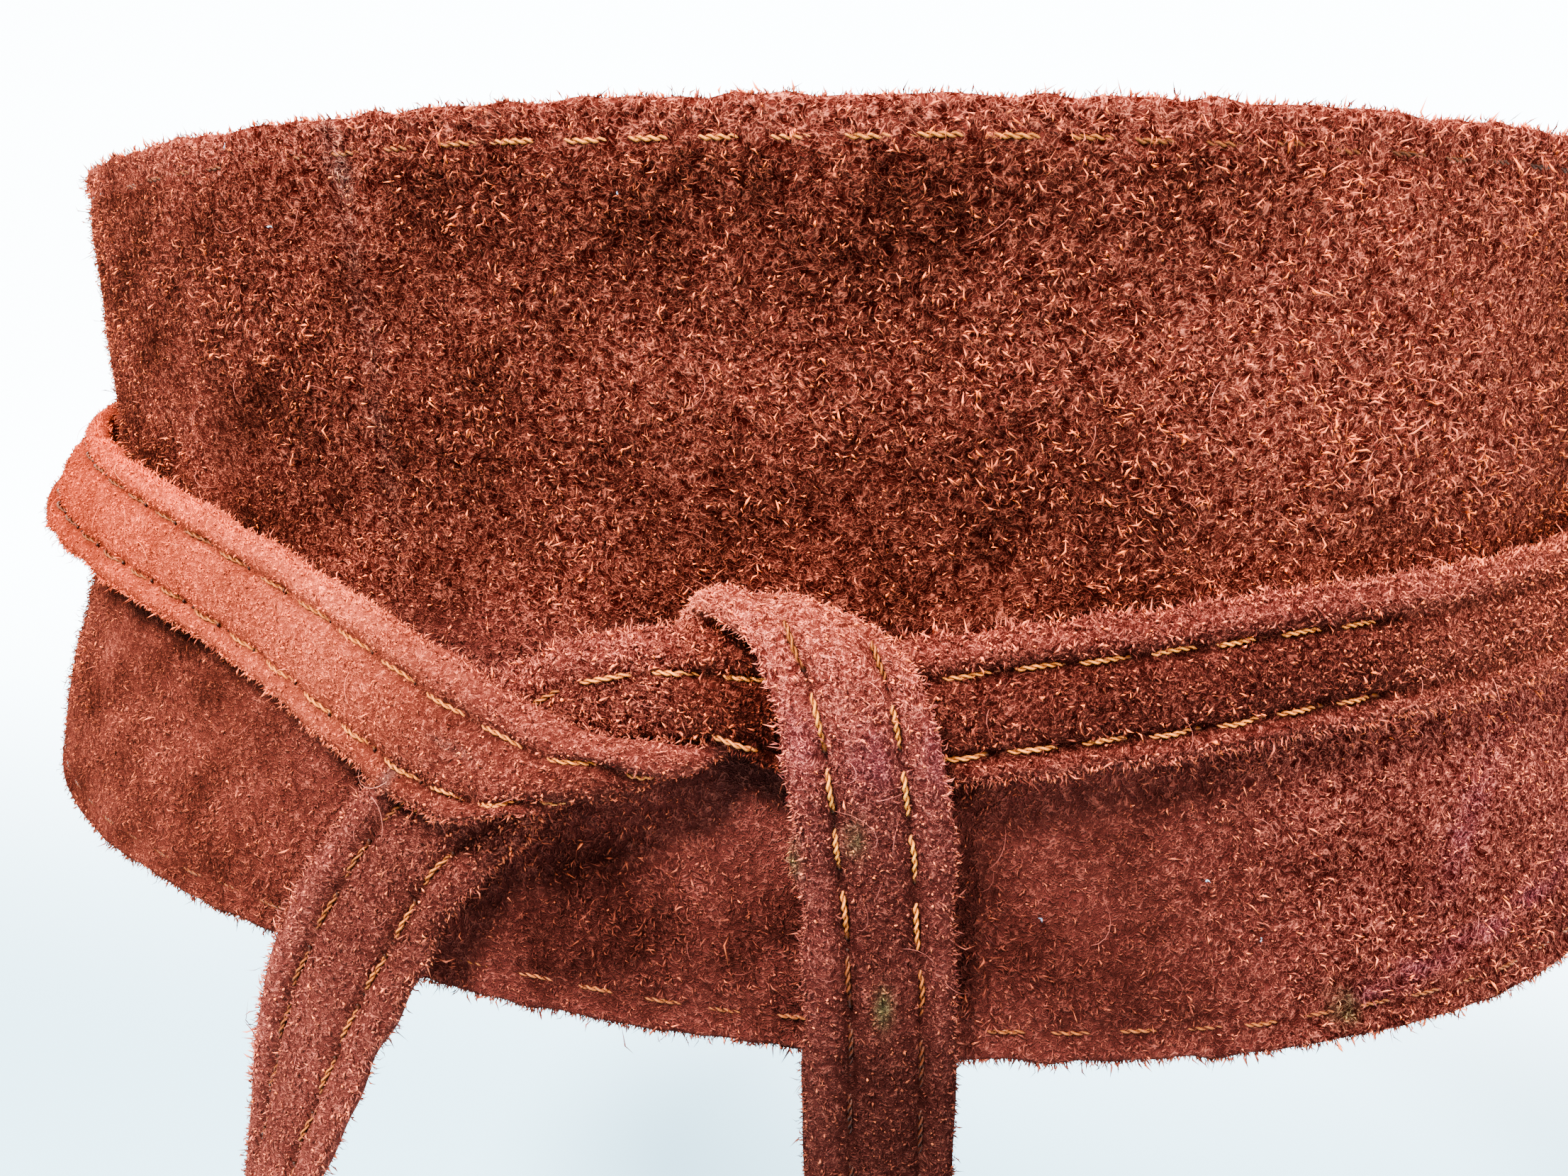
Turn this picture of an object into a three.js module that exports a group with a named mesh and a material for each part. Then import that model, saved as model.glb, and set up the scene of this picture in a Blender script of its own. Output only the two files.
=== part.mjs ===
// Suede obi belt, worn and tied: a wide suede panel that wraps the front and sides of the
// waist, and two long flat ties. Each tie is sewn to one narrow end of the panel at the back,
// crosses the other tie there, comes round over the panel and joins it in one half knot at the
// front, where both tails hang down.
//
// Millimetres, +Z up. The front of the belt faces -Y, and +X is the side that a viewer in
// front sees on the right. The origin is the middle of the waist opening, at its narrowest.
// A place on the belt is given by its side angle, its height and its lift. The side angle is
// 0 at the front, 90 at +X and 180 at the back. The lift is the distance off the panel's
// outer face.

import * as THREE from 'three';

// Driving dimensions
const PANEL_THICKNESS = 2.0;
const PANEL_END_SIDE = 162;
const TIE_WIDTH = 17.8;
const TIE_THICKNESS = 2.6;
const TIE_EDGE_CHAMFER = 0.8;

// How finely the soft shapes are faceted
const PANEL_SIDE_STEPS = 72;
const PANEL_HEIGHT_STEPS = 8;
const TIE_STEP = 5;
const TIE_STEPS_A_ROW = 2;

// Outer face of the panel, as half an ellipse each way, from over the waist to over the hips
const FACE_PROFILE = [
  { height: 60, halfWidth: 117.8, halfDepth: 85.6 },
  { height: 30, halfWidth: 117.7, halfDepth: 83.2 },
  { height: 5, halfWidth: 119.1, halfDepth: 82.2 },
  { height: -20, halfWidth: 121.0, halfDepth: 83.8 },
  { height: -42, halfWidth: 130.0, halfDepth: 89.4 },
  { height: -68, halfWidth: 139.0, halfDepth: 96.0 },
  { height: -95, halfWidth: 144.5, halfDepth: 99.5 },
  { height: -140, halfWidth: 147.0, halfDepth: 101.0 },
];

// Top and bottom edge of the panel round the waist: full height in front, narrow at both ends
const PANEL_EDGES = [
  { side: -162, top: 13, bottom: -9 },
  { side: -140, top: 17, bottom: -22 },
  { side: -118, top: 21, bottom: -44 },
  { side: -97, top: 23.5, bottom: -64 },
  { side: -72, top: 26, bottom: -70.5 },
  { side: -45, top: 32, bottom: -68.4 },
  { side: -20, top: 36, bottom: -67.5 },
  { side: 0, top: 37.5, bottom: -67.6 },
  { side: 20, top: 38.3, bottom: -68.4 },
  { side: 45, top: 37.7, bottom: -69.8 },
  { side: 72, top: 34.8, bottom: -70.8 },
  { side: 97, top: 29, bottom: -64 },
  { side: 118, top: 24, bottom: -44 },
  { side: 140, top: 18.5, bottom: -22 },
  { side: 162, top: 13, bottom: -9 },
];

// Where the limp panel stands out from its face, above the tie on the right, and how far
const FULLNESS = { side: 86, height: -2, sideReach: 20, heightReach: 8, out: 2.2 };

// Rows along each tie. side, height and lift place the middle of the strap. lean is the
// direction across the strap, in degrees from straight up towards greater side angles, and
// tip is how far that direction turns away from the panel. span is the strap's size in that
// direction as a share of its width: 1 where the strap lies flat and is crossed squarely, more
// where the direction slants along a fold, less where the knot squeezes the strap.

// The tie that comes round the left side. It passes over the other tie, folds up under its
// lower edge, rises behind it, folds forward over its upper edge and hangs down in front.
const LEFT_TIE_ROWS = [
  { side: -208, height: 3, lift: 1.6, lean: 14, tip: 0, span: 1 },
  { side: -200, height: 1, lift: 2.6, lean: 17, tip: 0, span: 1 },
  { side: -192, height: -3, lift: 4.5, lean: 20, tip: 0, span: 1 },
  { side: -180, height: -9.5, lift: 4.9, lean: 22, tip: 0, span: 1 },
  { side: -168, height: -16.4, lift: 4.7, lean: 19, tip: 0, span: 1 },
  { side: -159, height: -20.4, lift: 4, lean: 12, tip: 0, span: 1 },
  { side: -147, height: -22.4, lift: 2.4, lean: 4, tip: 0, span: 1 },
  { side: -120, height: -22.2, lift: 2.9, lean: 0, tip: -4, span: 1 },
  { side: -97, height: -21.5, lift: 4.6, lean: 0, tip: -12, span: 1 },
  { side: -80, height: -21, lift: 6, lean: 0, tip: -20, span: 1 },
  { side: -66, height: -20.5, lift: 5.8, lean: 2, tip: -18, span: 1 },
  { side: -54, height: -21.5, lift: 4, lean: 9, tip: -8, span: 1 },
  { side: -44, height: -23.6, lift: 2.8, lean: 15, tip: 0, span: 1 },
  { side: -34, height: -27, lift: 3, lean: 18, tip: 0, span: 1.01 },
  { side: -25.5, height: -31, lift: 4.7, lean: 19, tip: 0, span: 1.04 },
  { side: -19, height: -34.4, lift: 6.4, lean: 23, tip: 0, span: 1.07 },
  { side: -14.7, height: -36.1, lift: 7.6, lean: 31, tip: 0, span: 1.09 },
  { side: -10.8, height: -37.2, lift: 8.6, lean: 45, tip: 0, span: 1.04 },
  { side: -7.1, height: -36.8, lift: 8.5, lean: 57, tip: 0, span: 1.13 },
  { side: -4.9, height: -37, lift: 7.2, lean: 64, tip: 0, span: 1.12 },
  { side: -3, height: -36.6, lift: 5.1, lean: 70, tip: 0, span: 1.09 },
  { side: -1.4, height: -34.8, lift: 2.9, lean: 73, tip: 0, span: 1.08 },
  { side: 0.4, height: -31.8, lift: 1.8, lean: 76, tip: 0, span: 1.08 },
  { side: 2.4, height: -28, lift: 1.9, lean: 85, tip: 0, span: 1.12 },
  { side: 4.4, height: -23, lift: 1.9, lean: 94, tip: 0, span: 1.1 },
  { side: 6, height: -19, lift: 2, lean: 98, tip: 0, span: 1.08 },
  { side: 7.3, height: -16.2, lift: 3.3, lean: 99, tip: 0, span: 1.06 },
  { side: 8.8, height: -15.2, lift: 6.9, lean: 99, tip: 0, span: 1.05 },
  { side: 10.6, height: -16.7, lift: 10.2, lean: 97, tip: 0, span: 1 },
  { side: 12.1, height: -20.2, lift: 11.5, lean: 92, tip: 0, span: 0.96 },
  { side: 13.2, height: -26, lift: 10.7, lean: 83, tip: 0, span: 0.94 },
  { side: 14.1, height: -33.5, lift: 8.9, lean: 80, tip: 0, span: 0.98 },
  { side: 14.8, height: -42, lift: 5.6, lean: 85, tip: 0, span: 1.05 },
  { side: 15.1, height: -52, lift: 3.6, lean: 89, tip: 0, span: 1.01 },
  { side: 15.2, height: -64, lift: 3.4, lean: 90, tip: 0, span: 1.02 },
  { side: 15.3, height: -78, lift: 4.2, lean: 90, tip: 0, span: 1 },
  { side: 15.6, height: -100, lift: 5.5, lean: 90, tip: 0, span: 1 },
  { side: 15.5, height: -126, lift: 6.5, lean: 90, tip: 0, span: 1 },
];

// The tie that comes round the right side, listed from the end of its tail, which hangs at
// the lower left, up through the knot and round the right side to the back
const RIGHT_TIE_ROWS = [
  { side: -31, height: -121, lift: 9, lean: -85, tip: -48, span: 1 },
  { side: -29.8, height: -107, lift: 8.5, lean: -82, tip: -43, span: 1.02 },
  { side: -27.7, height: -93, lift: 7.5, lean: -78, tip: -27, span: 1.07 },
  { side: -26.2, height: -80, lift: 6.3, lean: -74, tip: -13, span: 1.13 },
  { side: -24.7, height: -69, lift: 5.3, lean: -69, tip: -5, span: 1.18 },
  { side: -22.4, height: -58.5, lift: 4.6, lean: -63, tip: -1, span: 1.19 },
  { side: -19.8, height: -48.5, lift: 3.1, lean: -57, tip: -3, span: 1.12 },
  { side: -14.2, height: -38.7, lift: 3.1, lean: -44, tip: 0, span: 1.04 },
  { side: -9.2, height: -29.8, lift: 4.3, lean: -26, tip: -1, span: 0.77 },
  { side: -2.8, height: -25.6, lift: 5.3, lean: -11, tip: -1, span: 0.72 },
  { side: 2.6, height: -25.1, lift: 5.6, lean: -5, tip: 0, span: 0.72 },
  { side: 7.8, height: -26.4, lift: 5.5, lean: -3, tip: 1, span: 0.88 },
  { side: 13, height: -27.1, lift: 5.3, lean: -1, tip: 3, span: 0.9 },
  { side: 19, height: -26.8, lift: 4.8, lean: -2, tip: 2, span: 0.95 },
  { side: 25, height: -25.8, lift: 4, lean: -4, tip: 0, span: 0.99 },
  { side: 33, height: -24.8, lift: 2.9, lean: -6, tip: 0, span: 1 },
  { side: 46, height: -23, lift: 2.5, lean: -4, tip: 0, span: 1 },
  { side: 60, height: -22.9, lift: 2.4, lean: 1, tip: 0, span: 1 },
  { side: 75, height: -24, lift: 2.6, lean: 2, tip: 0, span: 1 },
  { side: 100, height: -25, lift: 2.6, lean: 0, tip: 0, span: 1 },
  { side: 125, height: -25, lift: 2.4, lean: 0, tip: 0, span: 1 },
  { side: 145, height: -23.5, lift: 2, lean: -4, tip: 0, span: 1 },
  { side: 158, height: -21.4, lift: 1.7, lean: -12, tip: 0, span: 1 },
  { side: 168, height: -17.4, lift: 1.7, lean: -20, tip: 0, span: 1 },
  { side: 180, height: -9.5, lift: 1.6, lean: -22, tip: 0, span: 1 },
  { side: 192, height: -3, lift: 1.6, lean: -20, tip: 0, span: 1 },
  { side: 200, height: 1, lift: 1.6, lean: -17, tip: 0, span: 1 },
  { side: 208, height: 3, lift: 1.6, lean: -14, tip: 0, span: 1 },
];

// Smooth value of one column at a key, by a cubic through the rows on either side of it
function columnAt(rows, keyName, valueName, key) {
  const sorted = [...rows].sort((a, b) => a[keyName] - b[keyName]);
  const keys = sorted.map((row) => row[keyName]);
  const values = sorted.map((row) => row[valueName]);
  const last = keys.length - 1;
  const rise = (i) => (values[i + 1] - values[i]) / (keys[i + 1] - keys[i]);
  const slope = (i) => {
    if (i === 0) return rise(0);
    if (i === last) return rise(last - 1);
    const before = keys[i] - keys[i - 1];
    const after = keys[i + 1] - keys[i];
    return (rise(i - 1) * after + rise(i) * before) / (before + after);
  };
  let i = 0;
  while (i < last - 1 && key > keys[i + 1]) i += 1;
  const span = keys[i + 1] - keys[i];
  const t = THREE.MathUtils.clamp((key - keys[i]) / span, 0, 1);
  return (2 * t ** 3 - 3 * t ** 2 + 1) * values[i]
    + (t ** 3 - 2 * t ** 2 + t) * span * slope(i)
    + (3 * t ** 2 - 2 * t ** 3) * values[i + 1]
    + (t ** 3 - t ** 2) * span * slope(i + 1);
}

// Point of the panel's outer face at a side angle and a height
function facePoint(side, height) {
  const angle = THREE.MathUtils.degToRad(side);
  const halfWidth = columnAt(FACE_PROFILE, 'height', 'halfWidth', height);
  const halfDepth = columnAt(FACE_PROFILE, 'height', 'halfDepth', height);
  const radius = 1 / Math.hypot(Math.sin(angle) / halfWidth, Math.cos(angle) / halfDepth);
  return new THREE.Vector3(radius * Math.sin(angle), -radius * Math.cos(angle), height);
}

// Directions on the panel's outer face: sideways, up along the face, and straight out of it
function faceDirections(side, height) {
  const sideways = facePoint(side + 0.1, height).sub(facePoint(side - 0.1, height)).normalize();
  const upwards = facePoint(side, height + 0.1).sub(facePoint(side, height - 0.1)).normalize();
  const outwards = new THREE.Vector3().crossVectors(sideways, upwards).normalize();
  return { sideways, upwards, outwards };
}

// Point at a lift off the panel's outer face
function liftedPoint(side, height, lift) {
  return facePoint(side, height).addScaledVector(faceDirections(side, height).outwards, lift);
}

// How far the panel stands out from its face at a place
function fullnessAt(side, height) {
  const sidewards = (side - FULLNESS.side) / FULLNESS.sideReach;
  const upwards = (height - FULLNESS.height) / FULLNESS.heightReach;
  return FULLNESS.out * Math.exp(-(sidewards ** 2 + upwards ** 2));
}

// Closed body made of rings of the same number of points, with flat ends. Looking from one
// ring towards the next, the points of a ring run clockwise.
function ringsToGeometry(rings) {
  const size = rings[0].length;
  const positions = rings.flat().flatMap((point) => point.toArray());
  const index = [];
  for (let r = 0; r < rings.length - 1; r += 1) {
    for (let k = 0; k < size; k += 1) {
      const a = r * size + k;
      const b = r * size + ((k + 1) % size);
      index.push(a, b, b + size, a, b + size, a + size);
    }
  }
  const lastRing = (rings.length - 1) * size;
  for (let k = 1; k < size - 1; k += 1) {
    index.push(0, k + 1, k);
    index.push(lastRing, lastRing + k, lastRing + k + 1);
  }
  const geometry = new THREE.BufferGeometry();
  geometry.setAttribute('position', new THREE.Float32BufferAttribute(positions, 3));
  geometry.setIndex(index);
  geometry.computeVertexNormals();
  return geometry;
}

// The panel is a wall: each ring goes up its inner face and down its outer face at one side
// angle, from the bottom edge to the top edge there.
function panelGeometry() {
  const rings = [];
  for (let s = 0; s <= PANEL_SIDE_STEPS; s += 1) {
    const side = THREE.MathUtils.lerp(-PANEL_END_SIDE, PANEL_END_SIDE, s / PANEL_SIDE_STEPS);
    const top = columnAt(PANEL_EDGES, 'side', 'top', side);
    const bottom = columnAt(PANEL_EDGES, 'side', 'bottom', side);
    const inner = [];
    const outer = [];
    for (let h = 0; h <= PANEL_HEIGHT_STEPS; h += 1) {
      const height = THREE.MathUtils.lerp(bottom, top, h / PANEL_HEIGHT_STEPS);
      const fullness = fullnessAt(side, height);
      inner.push(liftedPoint(side, height, fullness - PANEL_THICKNESS));
      outer.push(liftedPoint(side, height, fullness));
    }
    rings.push([...inner, ...outer.reverse()]);
  }
  return ringsToGeometry(rings);
}

// Section of a strap round its middle: flat faces with chamfered edges. Each corner is given
// by its place across the strap, from -1 to 1, and its distance from the middle of the
// thickness.
function strapSection() {
  const face = TIE_THICKNESS / 2;
  const flank = face - TIE_EDGE_CHAMFER;
  const shoulder = 1 - TIE_EDGE_CHAMFER / (TIE_WIDTH / 2);
  return [
    { across: 1, out: -flank },
    { across: 1, out: flank },
    { across: shoulder, out: face },
    { across: 0, out: face },
    { across: -shoulder, out: face },
    { across: -1, out: flank },
    { across: -1, out: -flank },
    { across: -shoulder, out: -face },
    { across: 0, out: -face },
    { across: shoulder, out: -face },
  ];
}

// A strap carried through its rows by smooth curves through every column
function strapGeometry(rows) {
  const through = (x, y, z) => new THREE.CatmullRomCurve3(
    rows.map((row) => new THREE.Vector3(row[x], row[y], row[z])), false, 'catmullrom', 0.5);
  const places = through('side', 'height', 'lift');
  const turns = through('lean', 'tip', 'span');
  const section = strapSection();
  const middleAt = (t) => {
    const place = places.getPoint(THREE.MathUtils.clamp(t, 0, 1));
    return liftedPoint(place.x, place.y, place.z);
  };
  const ringAt = (t) => {
    const place = places.getPoint(t);
    const turn = turns.getPoint(t);
    const lean = THREE.MathUtils.degToRad(turn.x);
    const tip = THREE.MathUtils.degToRad(turn.y);
    const { sideways, upwards, outwards } = faceDirections(place.x, place.y);
    const crossing = new THREE.Vector3()
      .addScaledVector(sideways, Math.cos(tip) * Math.sin(lean))
      .addScaledVector(upwards, Math.cos(tip) * Math.cos(lean))
      .addScaledVector(outwards, Math.sin(tip));
    const run = middleAt(t + 1e-4).sub(middleAt(t - 1e-4));
    const out = new THREE.Vector3().crossVectors(run, crossing).normalize();
    return section.map((corner) => middleAt(t)
      .addScaledVector(crossing, corner.across * turn.z * TIE_WIDTH / 2)
      .addScaledVector(out, corner.out));
  };
  const rings = [];
  const last = rows.length - 1;
  for (let i = 0; i < last; i += 1) {
    const gap = middleAt(i / last).distanceTo(middleAt((i + 1) / last));
    const steps = Math.max(TIE_STEPS_A_ROW, Math.round(gap / TIE_STEP));
    for (let k = 0; k < steps; k += 1) rings.push(ringAt((i + k / steps) / last));
  }
  rings.push(ringAt(1));
  return ringsToGeometry(rings);
}

// One named piece in suede of a given colour
function suedePiece(name, geometry, color) {
  const material = new THREE.MeshStandardMaterial({ color, roughness: 0.95, metalness: 0 });
  const mesh = new THREE.Mesh(geometry, material);
  mesh.name = name;
  return mesh;
}

const belt = new THREE.Group();
belt.add(suedePiece('belt_panel', panelGeometry(), 0x84341f));
belt.add(suedePiece('tie_left', strapGeometry(LEFT_TIE_ROWS), 0xa85542));
belt.add(suedePiece('tie_right', strapGeometry(RIGHT_TIE_ROWS), 0x96452f));

export default belt;
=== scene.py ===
"""Suede obi belt, worn and knotted: napped suede, twisted thread, pale studio.

The shapes follow the CAD solids on finer grids. They are worked out in millimetres, with +Z up
and the front towards -Y, and go into Blender in metres. A place on the belt is given by its
side angle (0 in front, 90 at +X), its height and its lift off the panel's outer face.
"""

import math

import bpy
import numpy as np
from mathutils import Matrix


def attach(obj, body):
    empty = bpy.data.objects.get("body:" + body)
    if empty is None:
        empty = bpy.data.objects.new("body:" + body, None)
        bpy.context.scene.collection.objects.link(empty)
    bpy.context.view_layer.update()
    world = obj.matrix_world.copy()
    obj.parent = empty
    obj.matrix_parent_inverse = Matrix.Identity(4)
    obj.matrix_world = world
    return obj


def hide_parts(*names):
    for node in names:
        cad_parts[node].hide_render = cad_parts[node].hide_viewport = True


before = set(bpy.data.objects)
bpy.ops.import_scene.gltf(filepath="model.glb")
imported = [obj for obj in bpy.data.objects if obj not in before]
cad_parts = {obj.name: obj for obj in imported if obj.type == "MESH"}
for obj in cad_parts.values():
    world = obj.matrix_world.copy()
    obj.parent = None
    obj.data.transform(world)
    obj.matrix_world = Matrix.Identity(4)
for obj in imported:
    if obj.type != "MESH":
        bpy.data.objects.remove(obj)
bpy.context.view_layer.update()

MM = 0.001
UP = np.array([0.0, 0.0, 1.0])

# Outer face of the panel: height, half width and half depth of its ellipse, from low to high
FACE_PROFILE = np.array([
    (-140, 147.0, 101.0),
    (-95, 144.5, 99.5),
    (-68, 139.0, 96.0),
    (-42, 130.0, 89.4),
    (-20, 121.0, 83.8),
    (5, 119.1, 82.2),
    (30, 117.7, 83.2),
    (60, 117.8, 85.6),
])

# Edges of the panel round the waist: side, top and bottom
PANEL_EDGES = np.array([
    (-162, 13, -9),
    (-140, 17, -22),
    (-118, 21, -44),
    (-97, 23.5, -64),
    (-72, 26, -70.5),
    (-45, 32, -68.4),
    (-20, 36, -67.5),
    (0, 37.5, -67.6),
    (20, 38.3, -68.4),
    (45, 37.7, -69.8),
    (72, 34.8, -70.8),
    (97, 29, -64),
    (118, 24, -44),
    (140, 18.5, -22),
    (162, 13, -9),
])
PANEL_END_SIDE = 162
PANEL_THICKNESS = 2.0

# Rows along each tie, as in the CAD source: side, height, lift, lean, tip and span
LEFT_TIE_ROWS = np.array([
    (-208, 3, 1.6, 14, 0, 1),
    (-200, 1, 2.6, 17, 0, 1),
    (-192, -3, 4.5, 20, 0, 1),
    (-180, -9.5, 4.9, 22, 0, 1),
    (-168, -16.4, 4.7, 19, 0, 1),
    (-159, -20.4, 4, 12, 0, 1),
    (-147, -22.4, 2.4, 4, 0, 1),
    (-120, -22.2, 2.9, 0, -4, 1),
    (-97, -21.5, 4.6, 0, -12, 1),
    (-80, -21, 6, 0, -20, 1),
    (-66, -20.5, 5.8, 2, -18, 1),
    (-54, -21.5, 4, 9, -8, 1),
    (-44, -23.6, 2.8, 15, 0, 1),
    (-34, -27, 3, 18, 0, 1.01),
    (-25.5, -31, 4.7, 19, 0, 1.04),
    (-19, -34.4, 6.4, 23, 0, 1.07),
    (-14.7, -36.1, 7.6, 31, 0, 1.09),
    (-10.8, -37.2, 8.6, 45, 0, 1.04),
    (-7.1, -36.8, 8.5, 57, 0, 1.13),
    (-4.9, -37, 7.2, 64, 0, 1.12),
    (-3, -36.6, 5.1, 70, 0, 1.09),
    (-1.4, -34.8, 2.9, 73, 0, 1.08),
    (0.4, -31.8, 1.8, 76, 0, 1.08),
    (2.4, -28, 1.9, 85, 0, 1.12),
    (4.4, -23, 1.9, 94, 0, 1.1),
    (6, -19, 2, 98, 0, 1.08),
    (7.3, -16.2, 3.3, 99, 0, 1.06),
    (8.8, -15.2, 6.9, 99, 0, 1.05),
    (10.6, -16.7, 10.2, 97, 0, 1),
    (12.1, -20.2, 11.5, 92, 0, 0.96),
    (13.2, -26, 10.7, 83, 0, 0.94),
    (14.1, -33.5, 8.9, 80, 0, 0.98),
    (14.8, -42, 5.6, 85, 0, 1.05),
    (15.1, -52, 3.6, 89, 0, 1.01),
    (15.2, -64, 3.4, 90, 0, 1.02),
    (15.3, -78, 4.2, 90, 0, 1),
    (15.6, -100, 5.5, 90, 0, 1),
    (15.5, -126, 6.5, 90, 0, 1),
])
RIGHT_TIE_ROWS = np.array([
    (-31, -121, 9, -85, -48, 1),
    (-29.8, -107, 8.5, -82, -43, 1.02),
    (-27.7, -93, 7.5, -78, -27, 1.07),
    (-26.2, -80, 6.3, -74, -13, 1.13),
    (-24.7, -69, 5.3, -69, -5, 1.18),
    (-22.4, -58.5, 4.6, -63, -1, 1.19),
    (-19.8, -48.5, 3.1, -57, -3, 1.12),
    (-14.2, -38.7, 3.1, -44, 0, 1.04),
    (-9.2, -29.8, 4.3, -26, -1, 0.77),
    (-2.8, -25.6, 5.3, -11, -1, 0.72),
    (2.6, -25.1, 5.6, -5, 0, 0.72),
    (7.8, -26.4, 5.5, -3, 1, 0.88),
    (13, -27.1, 5.3, -1, 3, 0.9),
    (19, -26.8, 4.8, -2, 2, 0.95),
    (25, -25.8, 4, -4, 0, 0.99),
    (33, -24.8, 2.9, -6, 0, 1),
    (46, -23, 2.5, -4, 0, 1),
    (60, -22.9, 2.4, 1, 0, 1),
    (75, -24, 2.6, 2, 0, 1),
    (100, -25, 2.6, 0, 0, 1),
    (125, -25, 2.4, 0, 0, 1),
    (145, -23.5, 2, -4, 0, 1),
    (158, -21.4, 1.7, -12, 0, 1),
    (168, -17.4, 1.7, -20, 0, 1),
    (180, -9.5, 1.6, -22, 0, 1),
    (192, -3, 1.6, -20, 0, 1),
    (200, 1, 1.6, -17, 0, 1),
    (208, 3, 1.6, -14, 0, 1),
])
# A tie's cut width, the width of its body under the fuzz of its edges, and its thickness
TIE_BODY = 17.4
TIE_THICKNESS = 2.6

# Where a tie's two edges bend back in the knot: row number, reach in rows, depth at the edges
LEFT_BOWS = ((27.6, 2.6, 1.3), (18.0, 3.5, 0.9))
RIGHT_BOWS = ((9.5, 3.2, 0.8),)

# Stitching: length along the tie, places across it of the lower and the upper row, and how bright
# each row's thread is painted, painted light where it is lit and painted shade where it is not.
# Where that isn't above nothing, the nap covers the stitches.
LEFT_SEAMS = np.array([
    (0, -4.7, 4.7, 0.25, 0.25),
    (240, -4.8, 4.6, 0.06, 0.06),
    (275, -4.8, 4.6, 0.08, 0.08),
    (300, -4.9, 4.5, 0.12, 0.12),
    (325, -5.3, 4.2, 0.28, 0.22),
    (345, -5.6, 4.0, 0.45, 0.38),
    (375, -5.0, 3.8, 0.55, 0.55),
    (385, -4.7, 3.8, 0.4, 0.5),
    (388, -4.6, 3.8, -0.5, 0.5),
    (397, -4.3, 4.0, -0.5, 0.3),
    (399, -4.2, 4.1, -0.5, -0.5),
    (420, -2.9, 6.1, -0.3, -0.3),
    (425, -3.8, 5.0, 0.35, 0.25),
    (433, -4.0, 4.5, 0.9, 0.9),
    (447, -4.0, 3.9, 1.1, 1.1),
    (458, -3.6, 4.4, 0.8, 1.0),
    (465, -3.3, 4.7, 0.2, 0.4),
    (470, -3.2, 4.8, 0.06, 0.08),
    (485, -3.2, 4.8, 0.03, 0.04),
    (536, -3.1, 4.8, 0.03, 0.04),
])
RIGHT_SEAMS = np.array([
    (0, -3.9, 4.4, 0.14, 0.10),
    (30, -4.1, 4.3, 0.22, 0.12),
    (60, -4.2, 4.2, 0.35, 0.2),
    (85, -4.3, 4.2, 0.3, 0.15),
    (90, -4.6, 3.8, -0.5, -0.5),
    (100, -7.4, 2.6, -0.5, 0.12),
    (108, -8.0, 2.0, -0.5, 0.3),
    (115, -8.2, 1.7, -0.5, 0.6),
    (121, -8.2, 1.6, -0.5, 0.65),
    (123, -8.2, 1.6, 0.5, 0.65),
    (142, -5.4, 4.0, 0.6, 0.75),
    (190, -5.6, 3.7, 0.65, 0.75),
    (206, -5.5, 3.5, 0.6, 0.6),
    (213, -5.4, 3.4, -0.3, -0.3),
    (262, -5.0, 4.2, -0.3, -0.3),
    (270, -4.9, 4.4, 0.25, 0.25),
    (504, -4.7, 4.7, 0.25, 0.25),
])
# The panel's rows: their distance from its edges, and by side how bright the thread of the upper
# and of the lower one is painted, as painted light and shade
PANEL_ROW_FROM_EDGE = 3.85
PANEL_THREAD = np.array([
    (-100, 0.35, 0.35),
    (-72, 0.05, 0.06),
    (-60, 0.05, 0.06),
    (-32, 0.10, 0.10),
    (-24, 0.22, 0.16),
    (-14, 0.50, 0.20),
    (22, 0.55, 0.18),
    (32, 0.20, 0.20),
    (60, 0.05, 0.20),
    (72, 0.05, 0.20),
    (100, 0.35, 0.35),
])

# Stitches: from start to start on the ties and in the panel's upper and lower row, the share of
# that which each one covers, and a ply's radius, sides and length of turn
STITCH_PITCH = 8.2
PANEL_PITCHES = (7.4, 8.2)
STITCH_SHARE = 0.80
PANEL_STITCH_SHARE = 0.92
PLY_RADIUS = 0.18
PLY_SIDES = 4
PLY_TURN = 2.5
# Faces that the stitches show on: +1 outer or -1 inner, rings along a stitch, and its plies
TIE_STITCH_FACES = ((1.0, 15, 2), (-1.0, 7, 1))
PANEL_STITCH_FACES = ((1.0, 13, 2), (-1.0, 7, 1))
# Rows across where a tie is sewn on: their distances from its end, and their reach each way
BOX_STITCH_AT = (2.5, 11.5)
BOX_STITCH_REACH = 4.9

# Rounded edges: their power, and the reach of the panel's, a tie's and a tie's end, whose rounding
# is cut off a little before it comes to nothing
ROUNDING_POWER = 2.4
PANEL_EDGE_REACH = 0.9
TIE_EDGE_REACH = 1.9
TIE_END_REACH = 1.4
TIE_END_CUT = 0.06
# Depths of the grooves along the stitches
PANEL_GROOVE = 0.45
TIE_GROOVE = 0.75
# A tie's soft rolls: their rise, and the reach of those at its edges and of the middle one
ROLL_RISE = 0.45
EDGE_ROLL_REACH = 1.2
MIDDLE_ROLL_REACH = 2.8

# Where the limp panel stands out from its face: side, height and reach each way, and how far
FULLNESS_AT = (86, -3, 20, 9)
FULLNESS_OUT = 2.6
# Millimetres round the panel in a degree of side, near enough for wandering patterns
MM_A_DEGREE = 1.6

# Grains of nap on each half of the panel and along its edges, and the points of a grain
PANEL_GRAINS = 31500
PANEL_EDGE_GRAINS = 9000
GRAIN_POINTS = 5
# Stray hairs on the panel and on each tie, and a hair's rings and sides
PANEL_HAIRS = 60
TIE_HAIRS = 35
HAIR_RINGS = 7
HAIR_SIDES = 3
# Length between a tie's rings, and from the end of its tail to the knot
TIE_RING_STEP = 1.5
KNOT_FROM_END = 115


# Shape

def unit(vectors):
    """Vectors divided by their lengths."""
    return vectors / np.linalg.norm(vectors, axis=-1, keepdims=True)


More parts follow.
